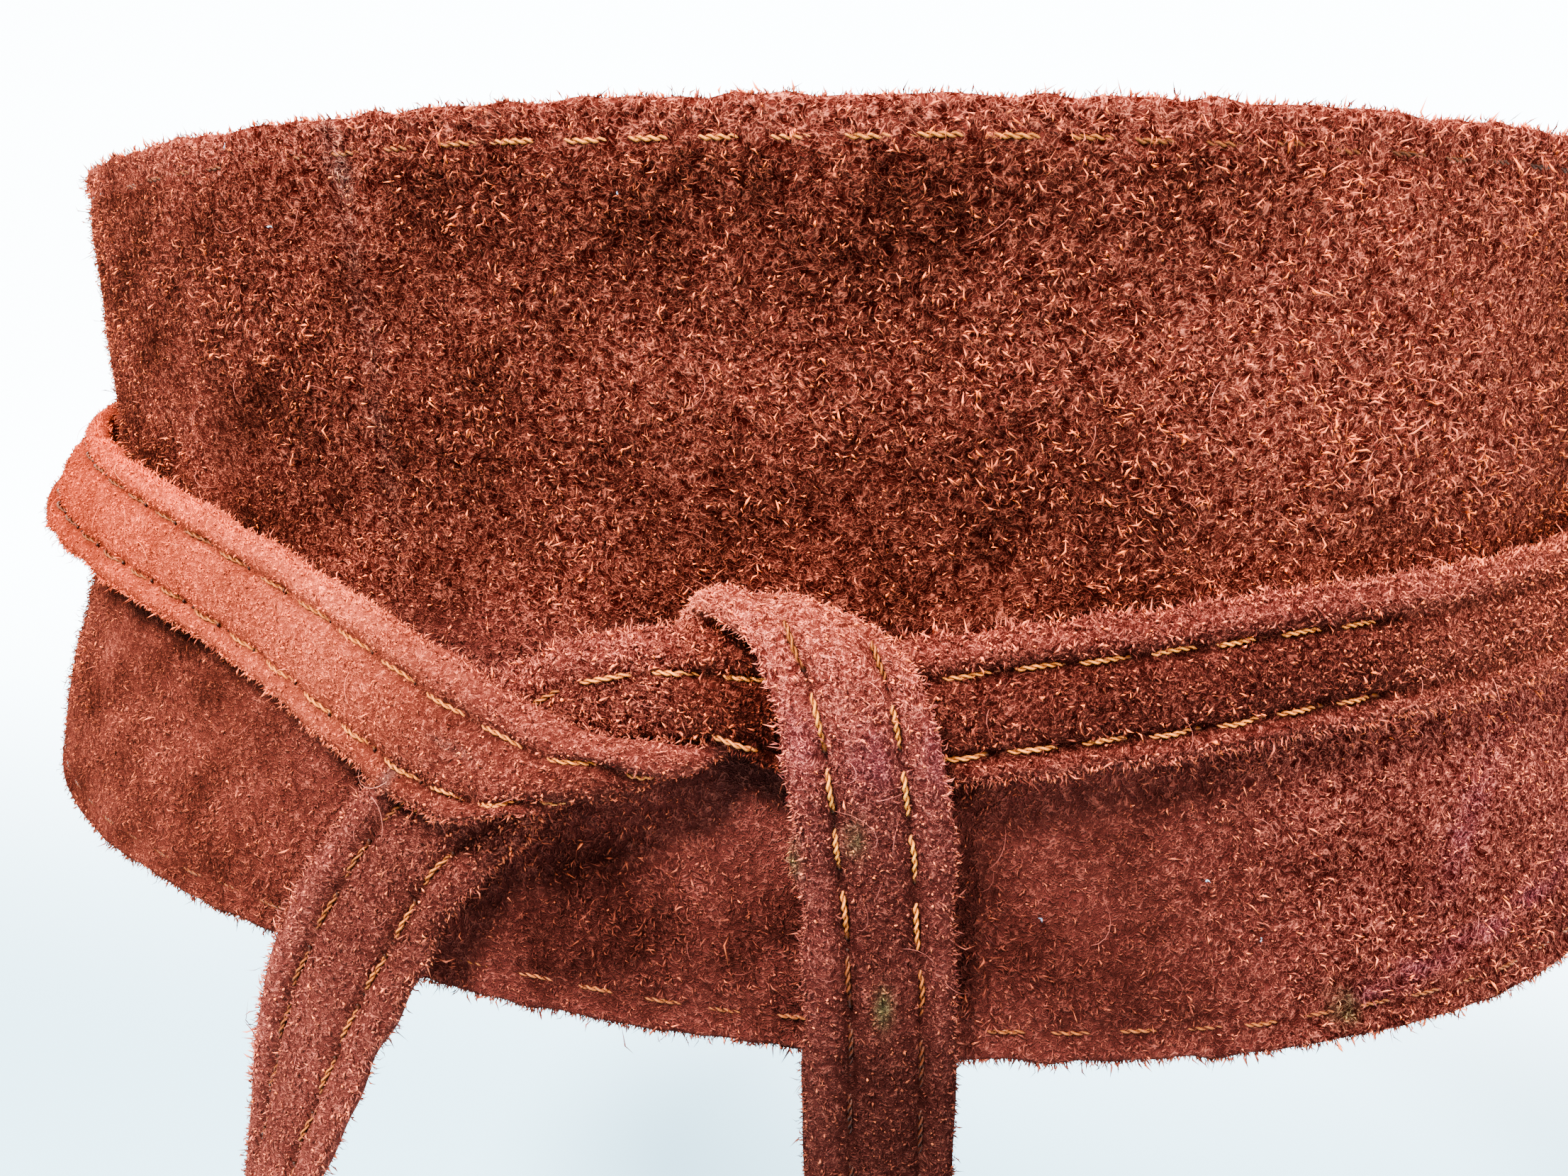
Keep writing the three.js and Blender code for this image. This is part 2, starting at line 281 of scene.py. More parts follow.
def ramp(values, start, end):
    """0 before the start, 1 past the end, and straight between; the end may be the lower one."""
    return np.clip((values - start) / (end - start), 0, 1)


def bell(distance, reach):
    """1 at no distance, falling smoothly to nothing past the reach."""
    return np.exp(-(distance / reach) ** 2)


def spot(x, y, middle_x, middle_y, wide, high):
    """Bell over a place, 1 in its middle."""
    return np.exp(-((x - middle_x) / wide) ** 2 - ((y - middle_y) / high) ** 2)


def drift(x, y, seed, size):
    """Smooth wandering value near -1 to 1: a sum of seven sine waves, each in a drawn direction."""
    draw = np.random.default_rng(seed)
    total = 0
    for _ in range(7):
        turn = draw.uniform(0, 2 * np.pi)
        wave = size * draw.uniform(0.6, 1.7)
        start = draw.uniform(0, 2 * np.pi)
        total = total + np.sin(2 * np.pi * (x * np.cos(turn) + y * np.sin(turn)) / wave + start)
    return total / 3.2


def running_length(line):
    """Length along a line of points, up to each of them."""
    steps = np.linalg.norm(np.diff(line, axis=0), axis=-1)
    return np.concatenate([[0], np.cumsum(steps)])


def column_at(table, column, keys):
    """Value of one column at the keys: a cubic between rows, with slopes from three rows."""
    x = table[:, 0]
    y = table[:, column]
    gap = np.diff(x)
    rise = np.diff(y) / gap
    slope = np.empty_like(y)
    slope[0] = rise[0]
    slope[-1] = rise[-1]
    slope[1:-1] = (rise[:-1] * gap[1:] + rise[1:] * gap[:-1]) / (gap[:-1] + gap[1:])
    i = np.clip(np.searchsorted(x, keys, side="right") - 1, 0, len(x) - 2)
    t = np.clip((keys - x[i]) / gap[i], 0, 1)
    return ((2 * t**3 - 3 * t**2 + 1) * y[i]
            + (t**3 - 2 * t**2 + t) * gap[i] * slope[i]
            + (3 * t**2 - 2 * t**3) * y[i + 1]
            + (t**3 - t**2) * gap[i] * slope[i + 1])


def face_point(side, height):
    """Outer face of the panel: at each height an ellipse whose half axes follow the profile."""
    angle = np.radians(side)
    half_width = column_at(FACE_PROFILE, 1, height)
    half_depth = column_at(FACE_PROFILE, 2, height)
    radius = 1 / np.hypot(np.sin(angle) / half_width, np.cos(angle) / half_depth)
    x = radius * np.sin(angle)
    y = -radius * np.cos(angle)
    return np.stack(np.broadcast_arrays(x, y, height), axis=-1)


def face_axes(side, height):
    """Directions sideways, up along the face and out of it, from small steps on the face."""
    step = 0.1
    sideways = unit(face_point(side + step, height) - face_point(side - step, height))
    upwards = unit(face_point(side, height + step) - face_point(side, height - step))
    outwards = unit(np.cross(sideways, upwards))
    return sideways, upwards, outwards


def lifted_point(side, height, lift):
    """Face point moved out along the face's normal by the lift."""
    return face_point(side, height) + face_axes(side, height)[2] * lift[..., None]


def rows_at(rows, t):
    """All columns at row number t: a uniform Catmull-Rom curve through the rows."""
    ends = np.vstack([2 * rows[0] - rows[1], rows, 2 * rows[-1] - rows[-2]])
    i = np.clip(np.floor(t).astype(int), 0, len(rows) - 2)
    f = (t - i)[..., None]
    p0 = ends[i]
    p1 = ends[i + 1]
    p2 = ends[i + 2]
    p3 = ends[i + 3]
    return 0.5 * (2 * p1 + (p2 - p0) * f + (2 * p0 - 5 * p1 + 4 * p2 - p3) * f**2
                  + (3 * p1 - p0 - 3 * p2 + p3) * f**3)


def strap_middle(rows, t):
    """Point on the middle line of a strap at row number t."""
    place = rows_at(rows, np.clip(t, 0, len(rows) - 1))
    return lifted_point(place[..., 0], place[..., 1], place[..., 2])


def strap_frame(rows, t):
    """Middle of a strap at row number t, its directions across, out and along, and its span."""
    side, height, lift, lean, tip, span = np.moveaxis(rows_at(rows, t), -1, 0)
    sideways, upwards, outwards = face_axes(side, height)
    lean = np.radians(lean)[..., None]
    tip = np.radians(tip)[..., None]
    on_face = np.sin(lean) * sideways + np.cos(lean) * upwards
    across = np.cos(tip) * on_face + np.sin(tip) * outwards
    step = 0.003
    run = unit(strap_middle(rows, t + step) - strap_middle(rows, t - step))
    out = unit(np.cross(run, across))
    return lifted_point(side, height, lift), across, out, run, span


def edge_rounding(from_edge, reach):
    """Share of the full thickness at a distance from a cut edge: a squarish quarter circle.

    The share, and the distance left to the reach as a share of it, each to the rounding's power,
    add up to 1.
    """
    inwards = np.clip(from_edge / reach, 0, 1)
    return (1 - (1 - inwards) ** ROUNDING_POWER) ** (1 / ROUNDING_POWER)


def seam_dip(from_row, depth):
    """How far a line of stitches pulls the leather down: a narrow bell on a wider one."""
    return depth * (bell(from_row, 0.7) + 0.35 * bell(from_row, 1.8))


class Strap:
    """A tie: its middle line by length, its tables, and points on either of its faces.

    sewn_first says whether its first row is where it is sewn on, or its tail's end.
    """

    def __init__(self, rows, bows, seams, colours_and_shade, spots, sewn_first, seed):
        self.rows = rows
        self.bows = bows
        self.seams = seams
        self.colours_and_shade = colours_and_shade
        self.spots = spots
        self.seed = seed
        self.t = np.linspace(0, len(rows) - 1, 6000)
        self.lengths = running_length(strap_frame(rows, self.t)[0])
        self.length = self.lengths[-1]
        self.sewn_end = 0 if sewn_first else self.length
        self.knot = self.length - KNOT_FROM_END if sewn_first else KNOT_FROM_END

    def seam(self, along, upper):
        """Place across of the lower or the upper row of stitches."""
        return np.interp(along, self.seams[:, 0], self.seams[:, 2 if upper else 1])

    def painted_thread_light(self, along, upper):
        """Painted light on the thread of the lower or upper row; not above nothing is covered."""
        return np.interp(along, self.seams[:, 0], self.seams[:, 4 if upper else 3])

    def groove_share(self, along):
        """How much of the grooves there is: little of them where the nap covers the stitches."""
        light = np.minimum(self.painted_thread_light(along, False), self.painted_thread_light(along, True))
        return np.clip(0.5 + 5 * light, 0.25, 1)

    def from_seam(self, along, across):
        """Distance across to the nearer row of stitches, negative towards the tie's middle."""
        lower = self.seam(along, False) - across
        upper = across - self.seam(along, True)
        return np.where(np.abs(lower) < np.abs(upper), lower, upper)

    def half_thickness(self, along, across):
        """Plump section: rounded edges, a groove along each row of stitches, three soft rolls.

        The grooves and the rolls fade towards the tie's two ends, which are rounded down to a
        thin end face.
        """
        lower = self.seam(along, False)
        upper = self.seam(along, True)
        rolls = 0
        for middle, reach in (((upper + TIE_BODY / 2) / 2, EDGE_ROLL_REACH),
                              ((lower - TIE_BODY / 2) / 2, EDGE_ROLL_REACH),
                              ((lower + upper) / 2, MIDDLE_ROLL_REACH)):
            rolls = rolls + ROLL_RISE * bell(across - middle, reach)
        from_edge = TIE_BODY / 2 - np.abs(across)
        from_end = np.minimum(along, self.length - along)
        inside = ramp(from_end, 1, 10)
        plump = (TIE_THICKNESS / 2 + rolls * inside) * edge_rounding(from_edge, TIE_EDGE_REACH)
        pucker = 1 + 0.3 * np.cos(2 * np.pi * along / STITCH_PITCH)
        groove = seam_dip(self.from_seam(along, across), TIE_GROOVE) * pucker
        groove = groove * self.groove_share(along) * inside * ramp(from_edge, 0, 2)
        end_rounding = edge_rounding(from_end + TIE_END_CUT, TIE_END_REACH)
        return np.maximum(plump - groove, 0) * end_rounding

    def point(self, along, across, face):
        """Point on the face (+1 outer, -1 inner), the way out of it, and the ways across and along.

        The point is the middle line's, plus the place across times the span, with a wandering
        edge, plus the half thickness outwards, less the bows that bend both edges back.
        """
        t = np.interp(along, self.lengths, self.t)
        middle, first, out, run, span = strap_frame(self.rows, t)
        share = across / (TIE_BODY / 2)
        wander = 0.35 * drift(along, 40 * np.sign(share), self.seed, 9)
        reach = across * span + wander * share * np.abs(share) ** 3
        bow = sum(depth * bell(t - row, size) for row, size, depth in self.bows)
        level = self.half_thickness(along, across) * face - bow * share**2
        point = middle + first * reach[..., None] + out * level[..., None]
        return point, out * face[..., None], first, run


def panel_edges(side):
    """Heights of the panel's top and bottom edge."""
    return column_at(PANEL_EDGES, 1, side), column_at(PANEL_EDGES, 2, side)


def from_panel_edge(side, height):
    """Distance from the panel's nearer long edge."""
    top, bottom = panel_edges(side)
    return np.minimum(top - height, height - bottom)


def panel_wave(side, height):
    """Soft bulges of the limp panel between its stitched edges, and a fuller one on the right."""
    x = side * MM_A_DEGREE
    free = ramp(np.minimum(38 - height, height + 68), 0, 16)
    fullness = FULLNESS_OUT * spot(side, height, *FULLNESS_AT)
    return fullness + 0.55 * free * drift(x * 0.6, height, 11, 52) + 0.12 * drift(x, height, 12, 17)


def panel_point(side, height, face):
    """Point on the face (+1 outer, -1 inner), the way out of it, and the ways up and sideways.

    The point is the face's, moved along its normal by the waves, half the thickness with its
    rounded edges, and the dips of the stitches. Near the cut edges its height wanders a little.
    """
    from_edge = from_panel_edge(side, height)
    half = PANEL_THICKNESS / 2 * edge_rounding(from_edge, PANEL_EDGE_REACH)
    dip = seam_dip(from_edge - PANEL_ROW_FROM_EDGE, PANEL_GROOVE) * ramp(from_edge, 0, 2)
    wander = 0.3 * ramp(from_edge, 4, 0) ** 2
    height = height + wander * drift(side * MM_A_DEGREE, 30 * np.sign(height), 13, 7)
    sideways, upwards, outwards = face_axes(side, height)
    level = -PANEL_THICKNESS / 2 + panel_wave(side, height) + (half - dip) * face
    point = face_point(side, height) + outwards * level[..., None]
    return point, outwards * face[..., None], upwards, sideways


# Meshes

def add_piece(name, points, face_sets, material, tint):
    """New piece from points in millimetres and arrays of faces, riding on the one body.

    tint has a red, green, blue and contrast for each point.
    """
    mesh = bpy.data.meshes.new(name)
    corners = np.concatenate([faces.ravel() for faces in face_sets])
    sizes = np.concatenate([np.full(len(faces), faces.shape[1]) for faces in face_sets])
    mesh.vertices.add(len(points))
    mesh.vertices.foreach_set("co", (points * MM).astype(np.float32).ravel())
    mesh.loops.add(len(corners))
    mesh.loops.foreach_set("vertex_index", corners.astype(np.int32))
    mesh.polygons.add(len(sizes))
    mesh.polygons.foreach_set("loop_start", (np.cumsum(sizes) - sizes).astype(np.int32))
    mesh.polygons.foreach_set("use_smooth", np.ones(len(sizes), dtype=bool))
    mesh.update(calc_edges=True)
    layer = mesh.color_attributes.new("tint", "FLOAT_COLOR", "POINT")
    layer.data.foreach_set("color", tint.astype(np.float32).ravel())
    mesh.materials.append(material)
    piece = bpy.data.objects.new(name, mesh)
    bpy.context.scene.collection.objects.link(piece)
    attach(piece, "root")
    return piece


def shell_faces(rings, size):
    """Faces of a closed strip: quads round each pair of rings, and both ends closed.

    A ring runs over the outer face from its first edge to its second and back under the inner
    face, so point k of the outer face lies over point size - k of the inner one.
    """
    half = size // 2
    r = np.arange(rings - 1)[:, None] * size
    k = np.arange(size)
    after = (k + 1) % size
    sides = np.stack([r + k, r + after, r + size + after, r + size + k], axis=-1).reshape(-1, 4)
    i = np.arange(1, half - 1)
    first = np.stack([i, size - i, size - i - 1, i + 1], axis=-1)
    tips = np.array([[0, size - 1, 1], [half - 1, half + 1, half]])
    last = (rings - 1) * size
    return [sides, first, tips, (first + last)[:, ::-1], (tips + last)[:, ::-1]]


def across_steps(width, fine, coarse, edge):
    """Places across a strip from its first edge to its second, closer together at both edges."""
    curve = edge * (1 - np.cos(np.linspace(0, np.pi / 2, fine)))
    middle = np.linspace(edge, width - edge, coarse)
    return width / 2 - np.concatenate([curve[:-1], middle, (width - curve[:-1])[::-1]])


def there_and_back(across):
    """A ring's places across, over the outer face and back under the inner one, with the face."""
    face = np.concatenate([np.ones(len(across)), -np.ones(len(across) - 2)])
    return np.concatenate([across, across[-2:0:-1]]), face


def angles(count):
    """Angles of so many points round a circle."""
    return np.arange(count) * 2 * np.pi / count


def circles(middle, first, second, radius, count):
    """Points round each middle: the radius times cosine of the first way and sine of the second."""
    turn = angles(count)[:, None]
    turned = np.cos(turn) * first[..., None, :] + np.sin(turn) * second[..., None, :]
    return middle[..., None, :] + np.asarray(radius)[..., None, None] * turned


def flecks(root, reach, bend, radius):
    """Closed bent grains of six faces: a buried point, a triangle halfway, and a tip.

    The triangle's middle is root + reach / 2 + bend, and radius is its size. The last result
    is how far from its root to its tip each point of a grain is.
    """
    aside = unit(np.cross(reach, bend))
    over = 0.7 * unit(np.cross(reach, aside))
    ring = circles(root + 0.5 * reach + bend, aside, over, radius, 3)
    points = np.concatenate([root[:, None], ring, (root + reach)[:, None]], axis=1)
    faces = np.array([(0, 2, 1), (0, 3, 2), (0, 1, 3), (1, 2, 4), (2, 3, 4), (3, 1, 4)])
    index = faces[None] + (np.arange(len(root)) * GRAIN_POINTS)[:, None, None]
    grow = np.tile([0.0, 0.7, 0.7, 0.7, 1.0], len(root))
    return points.reshape(-1, 3), index.reshape(-1, 3), grow


def tube_faces(count, rings, sides):
    """Quads and end caps of tubes whose points go ring by ring, turning round their run."""
    r = np.arange(rings - 1)[:, None] * sides
    k = np.arange(sides)
    after = (k + 1) % sides
    quads = np.stack([r + k, r + after, r + sides + after, r + sides + k], axis=-1).reshape(-1, 4)
    caps = np.stack([k[::-1], k + (rings - 1) * sides])
    base = (np.arange(count) * rings * sides)[:, None, None]
    return (quads[None] + base).reshape(-1, 4), (caps[None] + base).reshape(-1, sides)


def tubes(path, radius, sides):
    """Closed tubes along paths (tube, ring, xyz), with radius (tube, ring) and flat ends."""
    count, rings = path.shape[:2]
    run = unit(np.gradient(path, axis=1))
    aside = unit(np.cross(run, unit(np.roll(run, 1, axis=2) + 0.3 * UP)))
    ring = circles(path, aside, np.cross(run, aside), radius, sides)
    return ring.reshape(-1, 3), *tube_faces(count, rings, sides)


# Colours, as linear red, green and blue

PANEL_RUST = np.array((0.083, 0.0155, 0.0100))
STAIN_GREEN = np.array((0.035, 0.042, 0.018))
TINGE_PURPLE = np.array((0.30, 0.055, 0.105))
TINGE_GREY = np.array((0.13, 0.075, 0.065))
THREAD_GOLD = np.array((0.98, 0.27, 0.022))
# How much more green and blue the panel has in front below the tie
MUTED_GAIN = (0.0, 0.05, 0.26)

# Patches of the panel, partly its own uneven tone and partly painted light and shade, such as a
# painted shadow low in front and the painted light and shade of soft dents: side, height, reach
# each way, and how much lighter or darker
PANEL_TONE_AND_SHADE_PATCHES = (
    (6, 24, 26, 9, -0.27),
    (-50, 4, 14, 26, -0.10),
    (-25, 2, 14, 12, -0.36),
    (-40, 22, 10, 10, 0.15),
    (4, 9, 16, 6, 0.38),
    (20, -6, 20, 8, -0.36),
    (41, 26.5, 7, 5, -0.45),
    (55, 26, 4, 4, -0.5),
    (22, 9, 9, 4, 0.35),
    (30, 19, 12, 4, 0.25),
    (50, 13, 17, 18, 2.35),
    (66, -30, 17, 30, 1.15),
    (55, 31, 13, 9, 0.9),
    # Painted light, then painted shade, below the knot
    (0, -42, 9, 6, 0.5),
    (-7, -56, 9, 7, -0.15),
    (-14, -12, 8, 6, 0.10),
    # Broad painted shadow low in front, below the knot
    (4, -52, 24, 16, -0.55),
    (29, -52, 14, 14, -0.10),
    (-47, -50, 14, 14, 0.20),
    (-51, -8, 4, 7, 0.45),
    (-57, -14, 3, 10, -0.30),
    (-45, -16, 5, 6, -0.25),
    (-48, -33, 5, 6, -0.22),
    (-52, -42, 5, 6, 0.22),
)
# Tones that wander over the panel: how much, how much tighter in height, seed and size
PANEL_DRIFTS = (
    (0.20, 1.5, 21, 34),
    (0.17, 1.0, 22, 11),
    (0.14, 1.4, 25, 5),
)


def blend(colour, other, share):
    """Colour moved towards another by a share at each place."""
    return colour + (other - colour) * np.clip(share, 0, 1)[..., None]


def panel_tone_and_shade(x, side, height):
    """How light the suede is drawn: wandering tones, patches partly of painted light and shade,
    pale hems, and painted shade in the grooves of the rows of stitches.
    """
    tone = 1
    for amount, tighter, seed, size in PANEL_DRIFTS:
        tone = tone + amount * drift(x, height * tighter, seed, size)
    # Lighter and darker clouds on the left: painted light and shade of soft dents
    tone = tone + 0.30 * ramp(side, -26, -46) * drift(x, height, 24, 13)
    for middle, level, wide, high, change in PANEL_TONE_AND_SHADE_PATCHES:
        tone = tone + change * spot(side, height, middle, level, wide, high)
    from_edge = from_panel_edge(side, height)
    hem = ramp(from_edge, PANEL_ROW_FROM_EDGE + 0.4, PANEL_ROW_FROM_EDGE - 0.4)
    paler = np.where(height > 0, 1.0 + 0.7 * ramp(side, -5, 15), 0.15)
    # Painted shade in the grooves along the rows of stitches
    return tone + hem * paler - 0.35 * bell(from_edge - PANEL_ROW_FROM_EDGE, 0.7)


def panel_marks(x, side, height, colour):
    """Colour with its marks: a grey streak high on the left, purple ones low on the right.

    The grey streak leans a little, and the purple ones are a steep and a shallow line. A dull
    green spot lies near the lower edge.
    """
    patchy = 0.6 + 0.4 * drift(x, height, 23, 5)
    grey = 0.40 * bell(height - 31, 6) + 0.14 * bell(height - 8, 20)
    grey = grey * patchy * bell(side + 26.6 + 0.05 * height, 0.8)
    colour = blend(colour, TINGE_GREY, grey)
    steep = bell(side - 56 - 0.34 * (height + 51.8), 1.2) * bell(height + 46, 8)
    shallow = bell(height + 64.8 - 0.36 * (side - 47.2), 1.3)
    shallow = shallow * ramp(side, 46.5, 49.5) * ramp(side, 70, 65)
    colour = blend(colour, TINGE_PURPLE * 0.6, 0.40 * patchy * np.maximum(steep, shallow))
    return blend(colour, STAIN_GREEN, 0.8 * spot(side, height, 46.8, -65.8, 0.8, 1.8))


def panel_contrast(side, height):
    """How much the grains differ: most high on the right, least in front below the tie."""
    lower = ramp(height, -16, -26) * ramp(side, 52, 32)
    to_left = ramp(side, -26, -46) * (1 - lower)
    return 1.16 - 0.60 * lower - 0.30 * to_left + 0.48 * spot(side, height, 45, 10, 28, 26)


def panel_tint(side, height):
    """Panel colour and contrast: rust times tone and painted light and shade, muted below, with
    marks.
    """
    x = side * 1.55
    colour = PANEL_RUST * np.clip(panel_tone_and_shade(x, side, height), 0.3, 2.8)[..., None]
    muted = ramp(height, -16, -28) * ramp(side, -40, -20)
    colour = colour * (1 + muted[..., None] * MUTED_GAIN)
    colour = panel_marks(x, side, height, colour)
    return np.concatenate([colour, panel_contrast(side, height)[..., None]], axis=-1)


# Specks of lint on the panel: side and height
LINT_PLACES = (
    (37.8, -47.5),
    (41.2, -55.2),
    (26.5, -51.0),
    (-5.0, 28.0),
    (-38.5, 31.8),
    (-34.8, 23.0),
)

# Spots on each tie: length from its first row, place across, reach each way, colour and share
LEFT_SPOTS = (
    (433, -6.2, 3.2, 2.0, TINGE_PURPLE, 0.15),
    (436, 1.2, 3.5, 2.4, TINGE_PURPLE, 0.15),
    (437, 7.8, 3.5, 1.2, TINGE_PURPLE, 0.15),
    (446, -2.0, 2.4, 1.0, STAIN_GREEN, 0.65),
    (467.5, 0.5, 2.0, 0.9, STAIN_GREEN, 0.65),
    (449, -8.3, 2.6, 0.8, STAIN_GREEN, 0.50),
    (363.5, 0.6, 3.4, 0.25, TINGE_GREY, 0.60),
    (357.5, -7.0, 0.4, 2.2, TINGE_GREY, 0.40),
)
RIGHT_SPOTS = (
    (31, 8.4, 2.4, 1.0, STAIN_GREEN, 0.75),
    (21, 8.4, 3.0, 1.1, STAIN_GREEN, 0.75),
)

# Colour along each tie, its own colour with painted shade in the knot, under the arch and down
# the hanging tail: length from its first row, red, green and blue times 100, contrast, and how
# much paler its lower and its upper edge are, a painted highlight on its rolled edges
LEFT_COLOURS_AND_SHADE = np.array([
    (0, 13.5, 2.3, 1.4, 0.7, 0.2, 0.2),
    (180, 13.5, 2.3, 1.4, 0.7, 0.2, 0.2),
    (245, 15, 1.8, 0.78, 0.5, -0.1, 0.35),
    (272, 26, 3.1, 1.25, 0.5, -0.1, 0.35),
    (300, 33, 4.4, 1.9, 0.5, -0.1, 0.35),
    (340, 29, 4.9, 2.5, 0.55, -0.05, 0.4),
    # Painted shade where the tie passes into the knot
    (362, 11.1, 2.1, 1.42, 0.75, 0.15, 0.5),
    (380, 10.3, 1.95, 1.4, 0.8, 0.15, 0.5),
    (395, 12, 2.3, 1.65, 0.85, 0.2, 0.5),
    (415, 34.5, 6.9, 4.3, 0.9, 0.2, 0.15),
    (427, 24.5, 4.7, 3.45, 0.95, 0.25, 0.15),
    # Painted shade, deeper and deeper down the hanging tail
    (437, 13, 2.65, 2.2, 0.9, 0.35, 0.25),
    (452, 6.9, 1.45, 1.2, 0.75, 0.5, 0.3),
    (475, 2.9, 0.68, 0.56, 0.65, 0.6, 0.3),
    (536, 2.4, 0.58, 0.48, 0.65, 0.6, 0.3),
])
RIGHT_COLOURS_AND_SHADE = np.array([
    (0, 14.8, 3.15, 2.35, 0.65, 0.0, 0.3),
    (40, 12.9, 2.8, 2.15, 0.65, 0.0, 0.5),
    (75, 7.3, 1.58, 1.22, 0.75, 0.1, 0.6),
    (100, 8.7, 1.7, 1.25, 0.95, 0.1, 0.8),
    (118, 9.6, 1.87, 1.35, 1.0, 0.1, 0.9),
    # Painted shade under the arch of the other tie
    (125, 6.0, 1.05, 0.70, 0.95, 0.6, 0.8),
    (131, 3.2, 0.5, 0.33, 0.9, 0.6, 0.6),
    (150, 6.2, 1.14, 0.82, 0.95, 1.2, 1.5),
    (200, 5.9, 1.10, 0.82, 0.95, 1.5, 1.5),
    (222, 10, 1.95, 1.35, 0.95, 0.8, 0.8),
    (300, 12, 2.0, 1.2, 0.9, 0.2, 0.2),
    (504, 13.5, 2.3, 1.4, 0.7, 0.2, 0.2),
])


def tie_tint(strap, along, across):
    """Colour and contrast along a tie from its table, with painted shade in its seams, with its
    spots.
    """
    length, *columns = strap.colours_and_shade.T
    red, green, blue, contrast, lower_edge_highlight, upper_edge_highlight = (
        np.interp(along, length, values) for values in columns)
    tone = 1 + 0.12 * drift(along, across * 1.4, 31, 23) + 0.10 * drift(along, across, 32, 6)
    # Painted highlight on the rolled edges outside the rows of stitches
    tone = tone + lower_edge_highlight * ramp(strap.seam(along, False) - across, 0, 2.5)
    tone = tone + upper_edge_highlight * ramp(across - strap.seam(along, True), 0, 2.5)
    # Painted shade in the grooves along the rows of stitches
    painted_seam_shade = strap.groove_share(along) * bell(strap.from_seam(along, across), 0.55)
    tone = tone * (1 - 0.55 * painted_seam_shade)
    colour = np.stack([red, green, blue], axis=-1) * 0.01 * tone[..., None]
    patchy = 1 + 0.35 * drift(along, across, 33, 2.5)
    for at, middle, long, wide, other, amount in strap.spots:
        share = amount * patchy * spot(along, across, at, middle, long, wide)
        colour = blend(colour, other, share)
    return np.concatenate([colour, contrast[..., None]], axis=-1)


# Materials

def add_node(tree, kind, inputs=(), **settings):
    """New node with its settings, and each input given as a value or as a socket to link."""
    made = tree.nodes.new("ShaderNode" + kind)
    for name, value in settings.items():
        setattr(made, name, value)
    for name, value in dict(inputs).items():
        if isinstance(value, bpy.types.NodeSocket):
            tree.links.new(value, made.inputs[name])
        else:
            made.inputs[name].default_value = value
    return made


def new_group(name, inputs, outputs):
    """Empty node group with its sockets: a number or a colour comes in or goes out of each."""
    group = bpy.data.node_groups.new(name, "ShaderNodeTree")
    for socket_name, value in inputs.items():
        kind = "NodeSocketColor" if value is None else "NodeSocketFloat"
        socket = group.interface.new_socket(socket_name, in_out="INPUT", socket_type=kind)
        if value is not None:
            socket.default_value = value
    for socket_name in outputs:
        kind = "NodeSocketColor" if socket_name == "Colour" else "NodeSocketFloat"
        group.interface.new_socket(socket_name, in_out="OUTPUT", socket_type=kind)
    given = group.nodes.new("NodeGroupInput").outputs
    result = group.nodes.new("NodeGroupOutput").inputs
    return group, given, result


def arithmetic(tree, operation, first, second):
    """Result of one sum on two values or sockets."""
    return add_node(tree, "Math", {0: first, 1: second}, operation=operation).outputs["Value"]


def filament(group, place, scale, width):
    """1 along the lines where a noise passes its middle value, and 0 away from them."""
    noise = add_node(group, "TexNoise", {"Vector": place, "Scale": scale, "Detail": 1.0})
    off = arithmetic(group, "SUBTRACT", noise.outputs["Fac"], 0.5)
    away = arithmetic(group, "ABSOLUTE", off, 0.0)
    line = add_node(group, "MapRange", {
        "Value": away, "From Min": 0.0, "From Max": width, "To Min": 1.0, "To Max": 0.0,
    }, interpolation_type="SMOOTHSTEP")
    return line.outputs["Result"]


def nap_group():
    """Short nap: bent filaments and clumps break a colour into dark gaps and pale flecks.

    The filaments and the clumps are noises at the grain's size, bent by a slower swirl.
    """
    group, given, result = new_group(
        "suede_nap", {"Colour": None, "Grain Size": 900.0, "Contrast": 1.0},
        ("Colour", "Height", "Roughness"))
    grain = given["Grain Size"]
    place = add_node(group, "TexCoord").outputs["Object"]
    swirl = add_node(group, "TexNoise", {"Vector": place, "Scale": 300.0, "Detail": 2.0})
    bent = add_node(group, "Mix", {"Factor": 0.0026, "A": place, "B": swirl.outputs["Color"]},
                    data_type="VECTOR").outputs["Result"]
    coarse = filament(group, bent, arithmetic(group, "MULTIPLY", grain, 1.3), 0.07)
    fine = filament(group, bent, arithmetic(group, "MULTIPLY", grain, 2.6), 0.08)
    fine = arithmetic(group, "MULTIPLY", fine, 0.8)
    lines = arithmetic(group, "MAXIMUM", coarse, fine)
    clumps = add_node(group, "TexNoise", {
        "Vector": bent, "Scale": grain, "Detail": 4.0, "Roughness": 0.65})
    lumps = add_node(group, "MapRange", {
        "Value": clumps.outputs["Fac"], "From Min": 0.34, "From Max": 0.66}).outputs["Result"]
    half_lines = arithmetic(group, "MULTIPLY", lines, 0.5)
    half_lumps = arithmetic(group, "MULTIPLY", lumps, 0.5)
    height = arithmetic(group, "ADD", half_lines, half_lumps)
    ramp_node = add_node(group, "ValToRGB", {"Fac": height})
    stops = ramp_node.color_ramp.elements
    stops[0].position = 0.12
    stops[0].color = (0.10, 0.03, 0.025, 1)
    stops[1].position = 0.88
    stops[1].color = (3.0, 3.4, 2.8, 1)
    middle = stops.new(0.5)
    middle.color = (0.62, 0.52, 0.52, 1)
    mixed = add_node(group, "Mix", {
        "Factor": given["Contrast"], "A": given["Colour"], "B": ramp_node.outputs["Color"],
    }, data_type="RGBA", blend_type="MULTIPLY")
    rough = add_node(group, "MapRange", {"Value": height, "To Min": 0.98, "To Max": 0.8})
    group.links.new(mixed.outputs["Result"], result["Colour"])
    group.links.new(height, result["Height"])
    group.links.new(rough.outputs["Result"], result["Roughness"])
    return group


